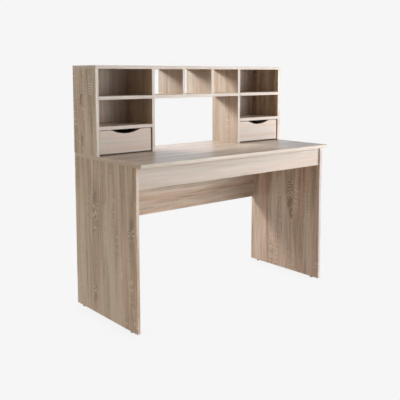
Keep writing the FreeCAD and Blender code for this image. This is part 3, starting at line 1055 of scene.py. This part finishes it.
# The drawer fronts' foil is paler and bluer, with a calmer print: partly its own tone, partly a painted sheen
# of the forward faces.
FRONT_FOIL = OakFoil(warm=(0.582, 0.446, 0.346), cool=(0.588, 0.490, 0.400), pale=(0.780, 0.708, 0.618),
                     depth=0.42, fineness=1.8)
DRAWER_FOIL = OakFoil(depth=0.6, band_paleness=0.1)
COVER_FOIL = OakFoil(depth=0.7, band=0.01 * MM, band_paleness=0.0)
HARDBOARD = PressedBoard(print_foil=BACK_FOIL)
DRAWER_BOTTOM = PressedBoard(ground=(0.62, 0.56, 0.48), dark=(0.50, 0.43, 0.35), pale=(0.72, 0.68, 0.61))
BEECH = SmallFinish(
    "beech", (0.56, 0.36, 0.19), mark=(0.38, 0.21, 0.10), metallic=0.0, roughness=0.45, scale=500.0,
)
STEEL = SmallFinish(
    "bright_steel", (0.62, 0.62, 0.60), mark=(0.42, 0.42, 0.42), metallic=1.0, roughness=0.22,
)
ZINC = SmallFinish(
    "cast_zinc", (0.50, 0.50, 0.51), mark=(0.34, 0.34, 0.35), metallic=1.0, roughness=0.35,
)
GLIDE_PLASTIC = SmallFinish(
    "glide_plastic", (0.020, 0.014, 0.010), mark=(0.05, 0.04, 0.03), metallic=0.0, roughness=0.35,
)
RAIL_PLASTIC = SmallFinish(
    "rail_plastic", (0.68, 0.66, 0.60), mark=(0.55, 0.52, 0.46), metallic=0.0, roughness=0.30,
)


def dress(node: str, material: bpy.types.Material) -> None:
    """Gives a CAD node its material.

    Args:
        node: The node's name.
        material: What it is finished with.
    """
    target = frame["nodes"][node]
    target.data.materials.clear()
    target.data.materials.append(material)
    LOG.info("%s is finished in %s", node, material.name)


@dataclass
class BoardSet:
    """Boards that share a foil.

    Attributes:
        effects: The shared effects.
        foil: The foil on every board.
        boards: Each board's node and how it lies.
        first_seed: Where the print of the first board starts.
        figures: The figures in some boards' prints.
        seed_step: How far apart the prints of two boards start.
    """

    effects: Effects
    foil: OakFoil
    boards: dict[str, Grain]
    first_seed: float
    figures: dict[str, tuple[Figure, ...]] = field(default_factory=dict)
    seed_step: float = 0.83

    def build(self) -> None:
        """Finishes every board of the set with its own stretch of the print."""
        for index, (node, grain) in enumerate(self.boards.items()):
            seed = self.first_seed + self.seed_step * index
            figures = self.figures.get(node, ())
            dress(node, self.foil.material(self.effects, node, grain, seed, figures))


@dataclass
class Table:
    """The writing table: top, side panels, apron and modesty panel.

    Attributes:
        effects: The shared effects.
        left_figures: Figures on the left side panel.
        right_figures: Figures on the right side panel.
    """

    effects: Effects
    left_figures: tuple[Figure, ...] = (
        Heart((-0.600, 0.098, 0.480), length=0.110, width=0.044, knot=0.72),
        Heart((-0.600, -0.205, 0.442), length=0.056, width=0.030, knot=0.60),
        Heart((-0.600, 0.100, 0.112), length=0.050, width=0.024, knot=-0.60),
        SawMarks((-0.600, 0.005, 0.415), length=0.140, width=0.019),
        SawMarks((-0.600, -0.122, 0.268), length=0.055, width=0.014),
    )
    right_figures: tuple[Figure, ...] = (
        Heart((0.584, -0.034, 0.454), length=0.092, width=0.040, knot=-0.66),
        Heart((0.584, -0.044, 0.338), length=0.026, width=0.018, knot=0.0),
        SawMarks((0.584, 0.052, 0.478), length=0.065, width=0.026),
    )

    def build(self) -> None:
        """Finishes the table's boards."""
        figures = {"left_side_panel": self.left_figures, "right_side_panel": self.right_figures}
        for node, foil, grain, seed in (
            ("left_side_panel", LEFT_PANEL_FOIL, Grain.UPRIGHT_SIDE, 3.93),
            ("right_side_panel", RIGHT_PANEL_FOIL, Grain.UPRIGHT_SIDE, 4.76),
            ("desk_top", TABLE_TOP_FOIL, Grain.LEVEL_TOP, 3.10),
            ("front_apron", APRON_FOIL, Grain.LEVEL_FACE, 5.59),
            ("modesty_panel", MODESTY_FOIL, Grain.LEVEL_FACE, 6.42),
        ):
            BoardSet(self.effects, foil, {node: grain}, seed, figures).build()


@dataclass
class Hutch:
    """The hutch: its top, uprights, shelves, dividers and thin tower backs.

    Attributes:
        effects: The shared effects.
        left_figures: Figures on the left side.
        side_seed: Where the print of the outer sides starts.
        inner_seed: Where the print of the boards between them starts.
        back_seed: Where the print of the left tower's back starts.
        back_step: How far from it that of the right tower's back starts.
    """

    effects: Effects
    left_figures: tuple[Figure, ...] = (
        SawMarks((-0.600, 0.113, 1.083), length=0.065, width=0.024),
        Heart((-0.600, 0.203, 1.000), length=0.020, width=0.016, knot=0.30),
        Heart((-0.600, 0.203, 0.800), length=0.040, width=0.018, knot=0.00),
    )
    side_seed: float = 9.13
    inner_seed: float = 10.79
    back_seed: float = 24.0
    back_step: float = 1.3

    def build(self) -> None:
        """Finishes the hutch's boards and the two printed backs."""
        outer = {"hutch_left_side": Grain.UPRIGHT_SIDE, "hutch_right_side": Grain.UPRIGHT_SIDE}
        figures = {"hutch_left_side": self.left_figures}
        BoardSet(self.effects, HUTCH_SIDE_FOIL, outer, self.side_seed, figures).build()
        boards = {
            "hutch_top": Grain.LEVEL_TOP,
            "cubby_shelf": Grain.LEVEL_TOP,
            "left_cubby_divider": Grain.UPRIGHT_SIDE,
            "right_cubby_divider": Grain.UPRIGHT_SIDE,
        }
        for side in SIDES:
            boards[side + "_tower_inner_panel"] = Grain.UPRIGHT_SIDE
            boards[side + "_tower_upper_shelf"] = Grain.LEVEL_TOP
            boards[side + "_tower_lower_shelf"] = Grain.LEVEL_TOP
        BoardSet(self.effects, HUTCH_FOIL, boards, self.inner_seed).build()
        for index, side in enumerate(SIDES):
            node = side + "_tower_back"
            seed = self.back_seed + self.back_step * index
            dress(node, HARDBOARD.material(self.effects, node, Grain.UPRIGHT_FACE, seed))


@dataclass
class Drawer:
    """One tower drawer.

    Attributes:
        effects: The shared effects.
        side: Which tower it is in.
        first_seed: Where the print of the left drawer's front starts.
        side_step: How far from it that of the right one's front starts.
        box_step: How far from the front's print that of the box starts.
    """

    effects: Effects
    side: str
    first_seed: float = 30.4
    side_step: float = 4.0
    box_step: float = 2.0

    def build(self) -> None:
        """Finishes the drawer's front and its box."""
        name = self.side + "_drawer_"
        seed = self.first_seed + self.side_step * SIDES.index(self.side)
        BoardSet(self.effects, FRONT_FOIL, {name + "front": Grain.LEVEL_FACE}, seed).build()
        box = {
            name + "left_side": Grain.DEEP_SIDE,
            name + "right_side": Grain.DEEP_SIDE,
            name + "back": Grain.LEVEL_FACE,
        }
        BoardSet(self.effects, DRAWER_FOIL, box, seed + self.box_step).build()
        bottom = name + "bottom"
        dress(bottom, DRAWER_BOTTOM.material(self.effects, bottom, Grain.LEVEL_TOP, seed))


@dataclass(frozen=True)
class Seat:
    """Where one small fitting sits.

    Attributes:
        point: The middle of its head's outer face.
        axis: Which way it goes in from there.
        length: Its length along the axis.
        radius: Its largest radius.
    """

    point: Vector
    axis: Vector
    length: float
    radius: float

    @classmethod
    def around(cls, points: list[Vector]) -> "Seat":
        """Works out the seat of a round fitting from its surface.

        Args:
            points: The points of its surface.

        Returns:
            The seat, whose head is the wider end, or the end with more detail where both are alike.
        """
        # How far from an end a point may be and still count as part of it.
        end_reach = 0.2 * MM
        low = Vector(min(point[axis] for point in points) for axis in range(3))
        high = Vector(max(point[axis] for point in points) for axis in range(3))
        size, middle = high - low, (low + high) / 2
        # A round fitting is as wide as it is high, seen along its axis.
        along = min(range(3), key=lambda axis: abs(size[(axis + 1) % 3] - size[(axis + 2) % 3]))
        across = (along + 1) % 3
        ends = []
        for end, inwards in ((low, 1.0), (high, -1.0)):
            face = [point for point in points if abs(point[along] - end[along]) < end_reach]
            reach = max(abs(point[across] - middle[across]) for point in face)
            ends.append((round(reach / MM, 1), len(face), inwards, end[along]))
        axis, point = Vector((0.0, 0.0, 0.0)), middle.copy()
        axis[along], point[along] = max(ends)[2:]
        return cls(point, axis, size[along], size[across] / 2)

    def matrix(self) -> Matrix:
        """Gives the move that takes a shape from the origin, where it points up, to the seat."""
        return Matrix.Translation(self.point) @ self.axis.to_track_quat("Z", "Y").to_matrix().to_4x4()


def find_seats(node: str) -> list[Seat]:
    """Finds the separate fittings of a CAD node.

    Args:
        node: The node's name.

    Returns:
        A seat for each of its solids.
    """
    shape = bmesh.new()
    shape.from_mesh(frame["nodes"][node].data)
    bmesh.ops.remove_doubles(shape, verts=shape.verts[:], dist=WELD)
    shape.verts.index_update()
    found, seats = set(), []
    for first in shape.verts:
        if first.index in found:
            continue
        found.add(first.index)
        # The list grows while it is walked, until nothing new touches it.
        island = [first]
        for vert in island:
            for edge in vert.link_edges:
                other = edge.other_vert(vert)
                if other.index not in found:
                    found.add(other.index)
                    island.append(other)
        seats.append(Seat.around([vert.co.copy() for vert in island]))
    shape.free()
    return seats


def spun(profile: Iterable[tuple[float, float]], steps: int) -> bmesh.types.BMesh:
    """Turns a profile about +Z.

    Args:
        profile: Radius and height of its points, from the axis at the head to the axis at the tip.
        steps: How many flats there are round the axis.

    Returns:
        The closed shape.
    """
    shape = bmesh.new()
    points = [shape.verts.new((radius, 0.0, height)) for radius, height in profile]
    edges = [shape.edges.new(pair) for pair in zip(points, points[1:])]
    bmesh.ops.spin(shape, geom=points + edges, cent=(0.0, 0.0, 0.0), axis=(0.0, 0.0, 1.0),
                   dvec=(0.0, 0.0, 0.0), angle=math.tau, steps=steps, use_merge=True)
    bmesh.ops.remove_doubles(shape, verts=shape.verts[:], dist=WELD)
    bmesh.ops.recalc_face_normals(shape, faces=shape.faces[:])
    return shape


def thread(start: float, end: float, radius: float, pitch: float) -> list[tuple[float, float]]:
    """Gives the profile of a thread as even ridges.

    Args:
        start: Height of the first root.
        end: Height of the last root.
        radius: Radius of the crests.
        pitch: Distance between crests.

    Returns:
        The profile's points, which start and end at a root.
    """
    # Where a crest starts and ends in its step, and its height as a share of the pitch.
    crest_start, crest_end, ridge_share = 0.45, 0.55, 0.35
    turns = max(1, round((end - start) / pitch))
    step, root = (end - start) / turns, radius - ridge_share * pitch
    points = [(root, start)]
    for turn in range(turns):
        low = start + turn * step
        points += [(radius, low + crest_start * step), (radius, low + crest_end * step), (root, low + step)]
    return points


class Fitting(ABC):
    """A small fitting that is turned, moulded, pressed or punched to fit its seat."""

    @abstractmethod
    def shape(self, seat: Seat) -> bmesh.types.BMesh:
        """Makes the fitting.

        Args:
            seat: The seat that it has to fit.

        Returns:
            The shape, with its head at the origin and its tip on +Z.
        """


# How many flats a turned fitting has round its axis.
ROUND_STEPS = 32
THREAD_STEPS = 20
NAIL_STEPS = 16


@dataclass(frozen=True)
class Glide(Fitting):
    """A moulded glide with a rounded rim and a well for its nail.

    Attributes:
        rim: Radius of its rounded lower rim.
        well: Radius of the well.
        well_depth: Depth of the well.
        pin: Radius of its pin.
        height: Height of the button.
        edge: Width of its softened edges.
        rim_steps: How many flats the rounded rim has.
    """

    rim: float = 1.6 * MM
    well: float = 2.4 * MM
    well_depth: float = 1.0 * MM
    pin: float = 1.1 * MM
    height: float = 7.0 * MM
    edge: float = 0.4 * MM
    rim_steps: int = 5

    def shape(self, seat: Seat) -> bmesh.types.BMesh:
        """Moulds the glide.

        Args:
            seat: The seat that it has to fit.

        Returns:
            The shape, with its head at the origin and its tip on +Z.
        """
        radius, edge = seat.radius, self.edge
        turns = [math.tau / 4 * step / self.rim_steps for step in range(self.rim_steps + 1)]
        rim = [(radius - self.rim * (1.0 - math.sin(a)), self.rim * (1.0 - math.cos(a))) for a in turns]
        profile = [(0.0, self.well_depth), (self.well - edge, self.well_depth), (self.well, 0.0), *rim,
                   (radius, self.height - edge), (radius - edge, self.height),
                   (self.pin, self.height), (self.pin, seat.length), (0.0, seat.length)]
        return spun(profile, ROUND_STEPS)


@dataclass(frozen=True)
class Screw(Fitting):
    """A countersunk wood screw with a cross recess.

    Attributes:
        core: Radius of its thread, as a share of the head's.
        pitch: Distance between threads, as a share of the head's radius.
        rim: Radius and depth of the head's softened rim, as shares of the head's radius.
        recess: Half width, reach and depth of the recess, as shares of the head's radius.
    """

    core: float = 0.46
    pitch: float = 0.42
    rim: tuple[float, float] = (0.97, 0.04)
    recess: tuple[float, float, float] = (0.13, 0.58, 0.45)

    def shape(self, seat: Seat) -> bmesh.types.BMesh:
        """Turns the screw and sinks the recess into its head.

        Args:
            seat: The seat that it has to fit.

        Returns:
            The shape, with its head at the origin and its tip on +Z.
        """
        head = seat.radius
        core = head * self.core
        neck, tip = head - core, seat.length - 2.0 * core
        flat, rim_depth = (share * head for share in self.rim)
        ridges = thread(neck + core, tip, core, head * self.pitch)
        profile = [(0.0, 0.0), (flat, 0.0), (head, rim_depth), (core, neck), *ridges, (0.0, seat.length)]
        shape = spun(profile, THREAD_STEPS)
        sink_cross(shape, *(share * head for share in self.recess))
        return shape


def sink_cross(shape: bmesh.types.BMesh, half_width: float, reach: float, depth: float) -> None:
    """Sinks a cross recess into the flat face at height zero.

    Args:
        shape: The shape to cut.
        half_width: Half the width of an arm.
        reach: How far the arms reach from the axis.
        depth: How deep the recess goes.
    """
    # How near a cut a point counts as on it, and the sloping walls' share of an arm's half width.
    cut_reach, wall_share = 0.0001 * MM, 0.35
    for normal in ((1.0, 0.0, 0.0), (0.0, 1.0, 0.0)):
        for place in (-reach, -half_width, half_width, reach):
            faces = [face for face in shape.faces if abs(face.calc_center_median().z) < WELD]
            parts = {part for face in faces for part in (*face.verts, *face.edges)}
            # A fixed order gives the same cut on each run.
            ordered = sorted(parts, key=lambda part: (isinstance(part, bmesh.types.BMEdge), part.index))
            bmesh.ops.bisect_plane(shape, geom=faces + ordered, dist=cut_reach,
                                   plane_co=Vector(normal) * place, plane_no=normal)
            for items in (shape.verts, shape.edges, shape.faces):
                items.index_update()
    arms = []
    for face in shape.faces:
        middle = face.calc_center_median()
        wide, narrow = max(abs(middle.x), abs(middle.y)), min(abs(middle.x), abs(middle.y))
        if abs(middle.z) < WELD and wide < reach and narrow < half_width:
            arms.append(face)
    bmesh.ops.inset_region(shape, faces=arms, thickness=half_width * wall_share, depth=-depth,
                           use_even_offset=True)


@dataclass(frozen=True)
class Nail(Fitting):
    """A small nail with a domed head.

    Attributes:
        shank: Radius of its shank.
        head: Height of its head.
        dome: Height of the head's domed part, as a share of the head's.
        rings: Radii of the dome's rings, as shares of the head's radius.
    """

    shank: float = 0.7 * MM
    head: float = 0.5 * MM
    dome: float = 0.6
    rings: tuple[float, ...] = (0.0, 0.35, 0.7, 0.9, 1.0)

    def shape(self, seat: Seat) -> bmesh.types.BMesh:
        """Turns the nail.

        Args:
            seat: The seat that it has to fit.

        Returns:
            The shape, with its head at the origin and its tip on +Z.
        """
        radius = seat.radius
        dome = [(radius * share, self.head * self.dome * share * share) for share in self.rings]
        profile = [*dome, (radius, self.head), (self.shank, self.head),
                   (self.shank, seat.length - 2.0 * self.shank), (0.0, seat.length)]
        return spun(profile, NAIL_STEPS)


@dataclass(frozen=True)
class CamBolt(Fitting):
    """The bolt of a cam fitting: head, neck, stem, collar and thread.

    Attributes:
        head: Length of the head, and of the neck.
        collar: Height of the collar.
        thread_length: Length of the thread.
        thread_radius: Radius of the thread.
        pitch: Distance between its ridges.
        soft: Width of its softened edges.
        radii: Radii of the head, the neck and the stem, as shares of the collar's.
    """

    head: float
    collar: float
    thread_length: float
    thread_radius: float
    pitch: float = 1.5 * MM
    soft: float = 0.3 * MM
    radii: tuple[float, float, float] = (0.8, 0.45, 0.7)

    def shape(self, seat: Seat) -> bmesh.types.BMesh:
        """Turns the bolt from its head to its thread.

        Args:
            seat: The seat that it has to fit.

        Returns:
            The shape, with its head at the origin and its tip on +Z.
        """
        soft, neck_end = self.soft, 2.0 * self.head
        collar_end = seat.length - self.thread_length
        collar_start = collar_end - self.collar
        head, neck, stem = (share * seat.radius for share in self.radii)
        ridges = thread(collar_end, seat.length - soft, self.thread_radius, self.pitch)
        profile = [(0.0, 0.0), (head - soft, 0.0), (head, soft), (head, self.head - soft),
                   (head - soft, self.head), (neck, self.head), (neck, neck_end), (stem, neck_end + soft),
                   (stem, collar_start), (seat.radius, collar_start), (seat.radius, collar_end), *ridges,
                   (0.0, seat.length)]
        return spun(profile, THREAD_STEPS)


@dataclass(frozen=True)
class Dowel(Fitting):
    """A fluted beech dowel.

    Attributes:
        flutes: How many flutes it has.
        flute_share: Radius at the bottom of a flute, as a share of the dowel's.
        chamfer: Height of its chamfered ends, as a share of its radius.
        end_share: Radius of its ends, as a share of its own.
    """

    flutes: int = 14
    flute_share: float = 0.93
    chamfer: float = 0.2
    end_share: float = 0.8

    def shape(self, seat: Seat) -> bmesh.types.BMesh:
        """Presses the flutes and draws the dowel out.

        Args:
            seat: The seat that it has to fit.

        Returns:
            The shape, with its head at the origin and its tip on +Z.
        """
        shape = bmesh.new()
        ring = bmesh.ops.create_circle(
            shape, cap_ends=True, segments=2 * self.flutes, radius=seat.radius,
        )["verts"]
        for vert in ring[::2]:
            vert.co *= self.flute_share
        end = self.end_share
        bmesh.ops.scale(shape, vec=Vector((end, end, 1.0)), verts=ring)
        height = self.chamfer * seat.radius
        # Each stretch is drawn out of the last one's end face, which is dropped once it lies inside.
        cap, inner = shape.faces[:], []
        for rise, scale in ((height, 1.0 / end), (seat.length - 2.0 * height, 1.0), (height, end)):
            drawn = bmesh.ops.extrude_face_region(shape, geom=cap)["geom"]
            top = [part for part in drawn if isinstance(part, bmesh.types.BMVert)]
            bmesh.ops.translate(shape, vec=Vector((0.0, 0.0, rise)), verts=top)
            bmesh.ops.scale(shape, vec=Vector((scale, scale, 1.0)), verts=top)
            bmesh.ops.delete(shape, geom=inner, context="FACES_ONLY")
            cap = inner = [part for part in drawn if isinstance(part, bmesh.types.BMFace)]
        bmesh.ops.recalc_face_normals(shape, faces=shape.faces[:])
        return shape


@dataclass(frozen=True)
class Cover(Fitting):
    """A stick-on cover disc with a softened rim.

    Attributes:
        soft: Radius of the softened rim.
    """

    soft: float = 0.2 * MM

    def shape(self, seat: Seat) -> bmesh.types.BMesh:
        """Punches the disc.

        Args:
            seat: The seat that it has to fit.

        Returns:
            The shape, with its head at the origin and its tip on +Z.
        """
        radius, soft = seat.radius, self.soft
        rim = [(radius - 2.0 * soft, 0.0), (radius - 0.5 * soft, 0.5 * soft), (radius, soft)]
        back = [(across, seat.length - height) for across, height in reversed(rim)]
        return spun([(0.0, 0.0), *rim, *back, (0.0, seat.length)], ROUND_STEPS)


@dataclass
class Fittings:
    """Dowels, cam fittings, screws, nails, rails, covers and glides.

    Attributes:
        effects: The shared effects.
        kinds: Each turned fitting and its finish, by the ending of its nodes' names. The first ending that
            fits a name counts.
        cover_seed: Where the print of the cover discs starts.
        sharp: The angle, in degrees, past which an edge of a fitting looks sharp.
        cast_edge: Width of the softened edges of the cast cam locks.
        cast_sharp: The angle, in degrees, past which their edges are softened.
    """

    effects: Effects
    kinds: dict[str, tuple[Fitting, SmallFinish]] = field(default_factory=lambda: {
        "floor_glides": (Glide(), GLIDE_PLASTIC),
        "screws": (Screw(), STEEL),
        "nails": (Nail(), STEEL),
        "dowels": (Dowel(), BEECH),
        "drawer_cam_bolts": (
            CamBolt(head=2.2 * MM, collar=1.5 * MM, thread_length=13.0 * MM, thread_radius=2.0 * MM), STEEL,
        ),
        "cam_bolts": (
            CamBolt(head=3.0 * MM, collar=2.0 * MM, thread_length=12.0 * MM, thread_radius=2.5 * MM), STEEL,
        ),
    })
    cover_seed: float = 5.0
    sharp: float = 32.0
    cast_edge: float = 0.2 * MM
    cast_sharp: float = 40.0

    def build(self) -> None:
        """Makes or finishes every small fitting."""
        record = frame["record"]
        body_of = {node: body for body, nodes in record["behaviour"]["bodies"].items() for node in nodes}
        finishes = (BEECH, STEEL, ZINC, GLIDE_PLASTIC, RAIL_PLASTIC)
        made = {finish.name: finish.material(self.effects) for finish in finishes}
        for node in sorted(frame["nodes"]):
            kind = next((kind for ending, kind in self.kinds.items() if node.endswith(ending)), None)
            if kind:
                self.replace(node, kind[0], made[kind[1].name], body_of[node])
            elif node.endswith("cam_covers"):
                foil = COVER_FOIL.material(self.effects, node, Grain.UPRIGHT_SIDE, self.cover_seed)
                self.replace(node, Cover(), foil, body_of[node])
            elif node.endswith("cam_locks"):
                dress(node, made[ZINC.name])
                self.soften(node)
            elif node.endswith("rail"):
                dress(node, made[RAIL_PLASTIC.name])

    def replace(self, node: str, fitting: Fitting, material: bpy.types.Material, body: str) -> None:
        """Puts a detailed fitting in each seat of a CAD node.

        Args:
            node: The node that the fittings stand for.
            fitting: The kind of fitting.
            material: Its finish.
            body: The body that it moves with.
        """
        mesh = bpy.data.meshes.new(node + "_turned")
        whole = bmesh.new()
        for seat in find_seats(node):
            shape = fitting.shape(seat)
            bmesh.ops.transform(shape, matrix=seat.matrix(), verts=shape.verts[:])
            part = bpy.data.meshes.new("part")
            shape.to_mesh(part)
            shape.free()
            whole.from_mesh(part)
            bpy.data.meshes.remove(part)
        whole.to_mesh(mesh)
        whole.free()
        mesh.polygons.foreach_set("use_smooth", [True] * len(mesh.polygons))
        mesh.set_sharp_from_angle(angle=math.radians(self.sharp))
        mesh.materials.append(material)
        piece = bpy.data.objects.new(mesh.name, mesh)
        bpy.context.scene.collection.objects.link(piece)
        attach(piece, body)
        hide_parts(node)
        LOG.info("%s stands for %s", piece.name, node)

    def soften(self, node: str) -> None:
        """Rounds the sharp edges of a cast node.

        Args:
            node: The node's name.
        """
        target = frame["nodes"][node]
        weld = target.modifiers.new("weld", "WELD")
        weld.merge_threshold = WELD
        bevel = target.modifiers.new("soft_edges", "BEVEL")
        bevel.width = self.cast_edge
        bevel.segments = 2
        bevel.limit_method = "ANGLE"
        bevel.angle_limit = math.radians(self.cast_sharp)


@dataclass(frozen=True)
class Viewpoint:
    """The camera, where the lengths in pixels are those of the photo's 400 by 400 frame.

    Attributes:
        eye: Where it stands.
        turn: How far it looks from +Y towards +X, in degrees.
        tilt: How far it looks down, in degrees.
        roll: How far it is turned about its own axis, in degrees.
        focal_pixels: Focal length.
        axis_row: The row of the photo that the optical axis meets.
        frame_pixels: Width and height of the photo.
        sensor: Width of the camera's sensor in millimetres.
        far: How far it sees.
    """

    eye: Point = (-2.0563, -2.4215, 1.1159)
    turn: float = 39.66
    tilt: float = 6.052
    roll: float = -0.088
    focal_pixels: float = 632.3
    axis_row: float = 141.64
    frame_pixels: float = 400.0
    sensor: float = 36.0
    far: float = 100.0

    def build(self) -> None:
        """Makes the camera and looks through it."""
        data = bpy.data.cameras.new("camera")
        data.sensor_width = self.sensor
        data.sensor_fit = "HORIZONTAL"
        data.lens = self.sensor * self.focal_pixels / self.frame_pixels
        data.shift_y = (self.axis_row - self.frame_pixels / 2) / self.frame_pixels
        data.clip_end = self.far
        turn, tilt, roll = (math.radians(value) for value in (self.turn, self.tilt, self.roll))
        ahead = Vector((math.sin(turn) * math.cos(tilt), math.cos(turn) * math.cos(tilt), -math.sin(tilt)))
        level = Vector((math.cos(turn), -math.sin(turn), 0.0))
        upward = level.cross(ahead)
        right = level * math.cos(roll) + upward * math.sin(roll)
        top = upward * math.cos(roll) - level * math.sin(roll)
        matrix = Matrix((right, top, -ahead)).transposed().to_4x4()
        matrix.translation = self.eye
        camera = bpy.data.objects.new("camera", data)
        camera.matrix_world = matrix
        bpy.context.scene.collection.objects.link(camera)
        bpy.context.scene.camera = camera


# Where the lights look: at the whole desk, or at the right half of its hutch.
DESK_AIM: Point = (0.0, 0.0, 0.65)
HUTCH_AIM: Point = (0.25, 0.18, 1.0)


@dataclass(frozen=True)
class Softbox:
    """A square studio light.

    Attributes:
        name: Its name.
        place: Where it hangs.
        size: The length of its side.
        power: Its power in watts.
        colour: Its tint.
        target: Where it looks.
        spread: The angle that its grid lets light out in, in degrees.
        mirrored: Whether glossy surfaces mirror it.
    """

    name: str
    place: Point
    size: float
    power: float
    colour: Colour = (1.0, 1.0, 1.0)
    target: Point = DESK_AIM
    spread: float = 180.0
    mirrored: bool = False

    def build(self) -> None:
        """Hangs the light, which the camera doesn't see."""
        data = bpy.data.lights.new(self.name, "AREA")
        data.shape = "SQUARE"
        data.size = self.size
        data.energy = self.power
        data.color = self.colour
        data.spread = math.radians(self.spread)
        lamp = bpy.data.objects.new(self.name, data)
        aim = Vector(self.target) - Vector(self.place)
        lamp.matrix_world = Matrix.Translation(self.place) @ aim.to_track_quat("-Z", "Y").to_matrix().to_4x4()
        lamp.visible_camera = False
        lamp.visible_glossy = self.mirrored
        bpy.context.scene.collection.objects.link(lamp)


@dataclass(frozen=True)
class Studio:
    """A plain pale studio: floor, surroundings and softboxes.

    Attributes:
        paper: The brightness of the paper as the camera sees it.
        floor_radius: How far the floor reaches.
        floor_matt: The floor's own colour, which lights the desk from below.
        floor_sheen: How bright the floor looks in the foil's sheen.
        surround_sheen: How bright the surroundings look in the foil's sheen. They give no other light.
        contact_reach: How far the shade on the paper reaches from what stands over it.
        contact_depth: How dark that shade gets.
        lights: The softboxes.
    """

    paper: float = 0.921
    floor_radius: float = 14.0
    floor_matt: Colour = (0.8, 0.8, 0.8)
    floor_sheen: Colour = (1.834, 1.652, 1.470)
    surround_sheen: Colour = (0.741, 0.852, 0.963)
    contact_reach: float = 0.12
    contact_depth: float = 0.08
    lights: tuple[Softbox, ...] = (
        Softbox("key_low", (2.000, -3.464, 0.9), size=1.8, power=68.9, colour=(0.92, 0.99, 1.09)),
        Softbox("key_mid", (2.758, -2.314, 1.6), size=1.6, power=99.0, colour=(0.94, 1.00, 1.07)),
        Softbox("key_high", (2.065, -2.949, 2.8), size=1.8, power=9.7, colour=(0.75, 0.97, 1.28)),
        Softbox("key_sheen", (2.900, -2.300, 1.6), size=2.4, power=7.0, colour=(0.70, 0.98, 1.32),
                mirrored=True),
        Softbox("front_low", (0.349, -3.985, 0.9), size=2.0, power=8.5, colour=(0.80, 0.93, 1.27)),
        Softbox("left_mid", (-3.939, -0.695, 1.5), size=2.0, power=14.3, colour=(1.15, 1.02, 0.83)),
        Softbox("left_high", (-3.289, 1.197, 2.4), size=1.5, power=8.3, colour=(1.28, 1.02, 0.70)),
        Softbox("back_near", (-0.650, 1.200, 1.6), size=0.3, power=2.0, colour=(0.80, 1.02, 1.18),
                target=HUTCH_AIM, spread=100.0),
        Softbox("back_far", (-0.900, 1.400, 1.65), size=0.35, power=6.2, colour=(0.98, 0.99, 1.03),
                target=HUTCH_AIM, spread=100.0),
        Softbox("back_left", (-0.500, 1.900, 1.8), size=0.6, power=9.5, colour=(1.01, 0.96, 1.03),
                target=HUTCH_AIM, spread=100.0),
        Softbox("back_sheen", (2.400, 3.000, 1.35), size=2.0, power=8.8, colour=(1.01, 0.97, 1.02),
                mirrored=True),
        Softbox("overhead_front", (0.000, -1.200, 3.4), size=2.0, power=9.9, colour=(0.98, 0.92, 1.11)),
    )

    def build(self) -> None:
        """Builds the floor, the surroundings and the lights."""
        self.build_floor()
        self.build_surroundings()
        for light in self.lights:
            light.build()
        view = bpy.context.scene.view_settings
        view.view_transform = "Standard"
        view.look = "None"

    def build_floor(self) -> None:
        """Lays a round floor that the camera sees as paper with a faint shadow."""
        mesh = bpy.data.meshes.new("floor")
        shape = bmesh.new()
        bmesh.ops.create_circle(shape, cap_ends=True, segments=96, radius=self.floor_radius)
        shape.to_mesh(mesh)
        shape.free()
        floor = bpy.data.objects.new("floor", mesh)
        bpy.context.scene.collection.objects.link(floor)
        material, net = new_material("floor_paper")
        matt = net.add("BsdfDiffuse", {"Color": self.floor_matt})[0]
        sheen = net.add("Emission", {"Color": self.floor_sheen, "Strength": 1.0})[0]
        open_share = net.add("AmbientOcclusion", {"Distance": self.contact_reach}, samples=16)["AO"]
        shade = net.ramp(open_share, 0.0, 1.0, self.paper * (1.0 - self.contact_depth), self.paper)
        paper = net.add("Emission", {"Color": shade, "Strength": 1.0})[0]
        net.add("OutputMaterial", {"Surface": net.by_ray(paper, sheen, matt)})
        mesh.materials.append(material)

    def build_surroundings(self) -> None:
        """Makes the world paper white for the camera and a soft sheen for the object."""
        world = bpy.data.worlds.new("surroundings")
        world.use_nodes = True
        world.node_tree.nodes.clear()
        net = Net(world.node_tree)
        seen, sheen, dark = (
            net.add("Background", {"Color": colour})[0]
            for colour in ((self.paper,) * 3, self.surround_sheen, (0.0, 0.0, 0.0))
        )
        net.add("OutputWorld", {"Surface": net.by_ray(seen, sheen, dark)})
        bpy.context.scene.world = world


def main() -> None:
    """Builds the studio, then dresses the desk."""
    logging.basicConfig(level=logging.INFO, format="%(message)s")
    Viewpoint().build()
    Studio().build()
    effects = Effects()
    drawers = [Drawer(effects, side) for side in SIDES]
    for assembly in (Table(effects), Hutch(effects), *drawers, Fittings(effects)):
        assembly.build()


if __name__ == "__main__":
    main()
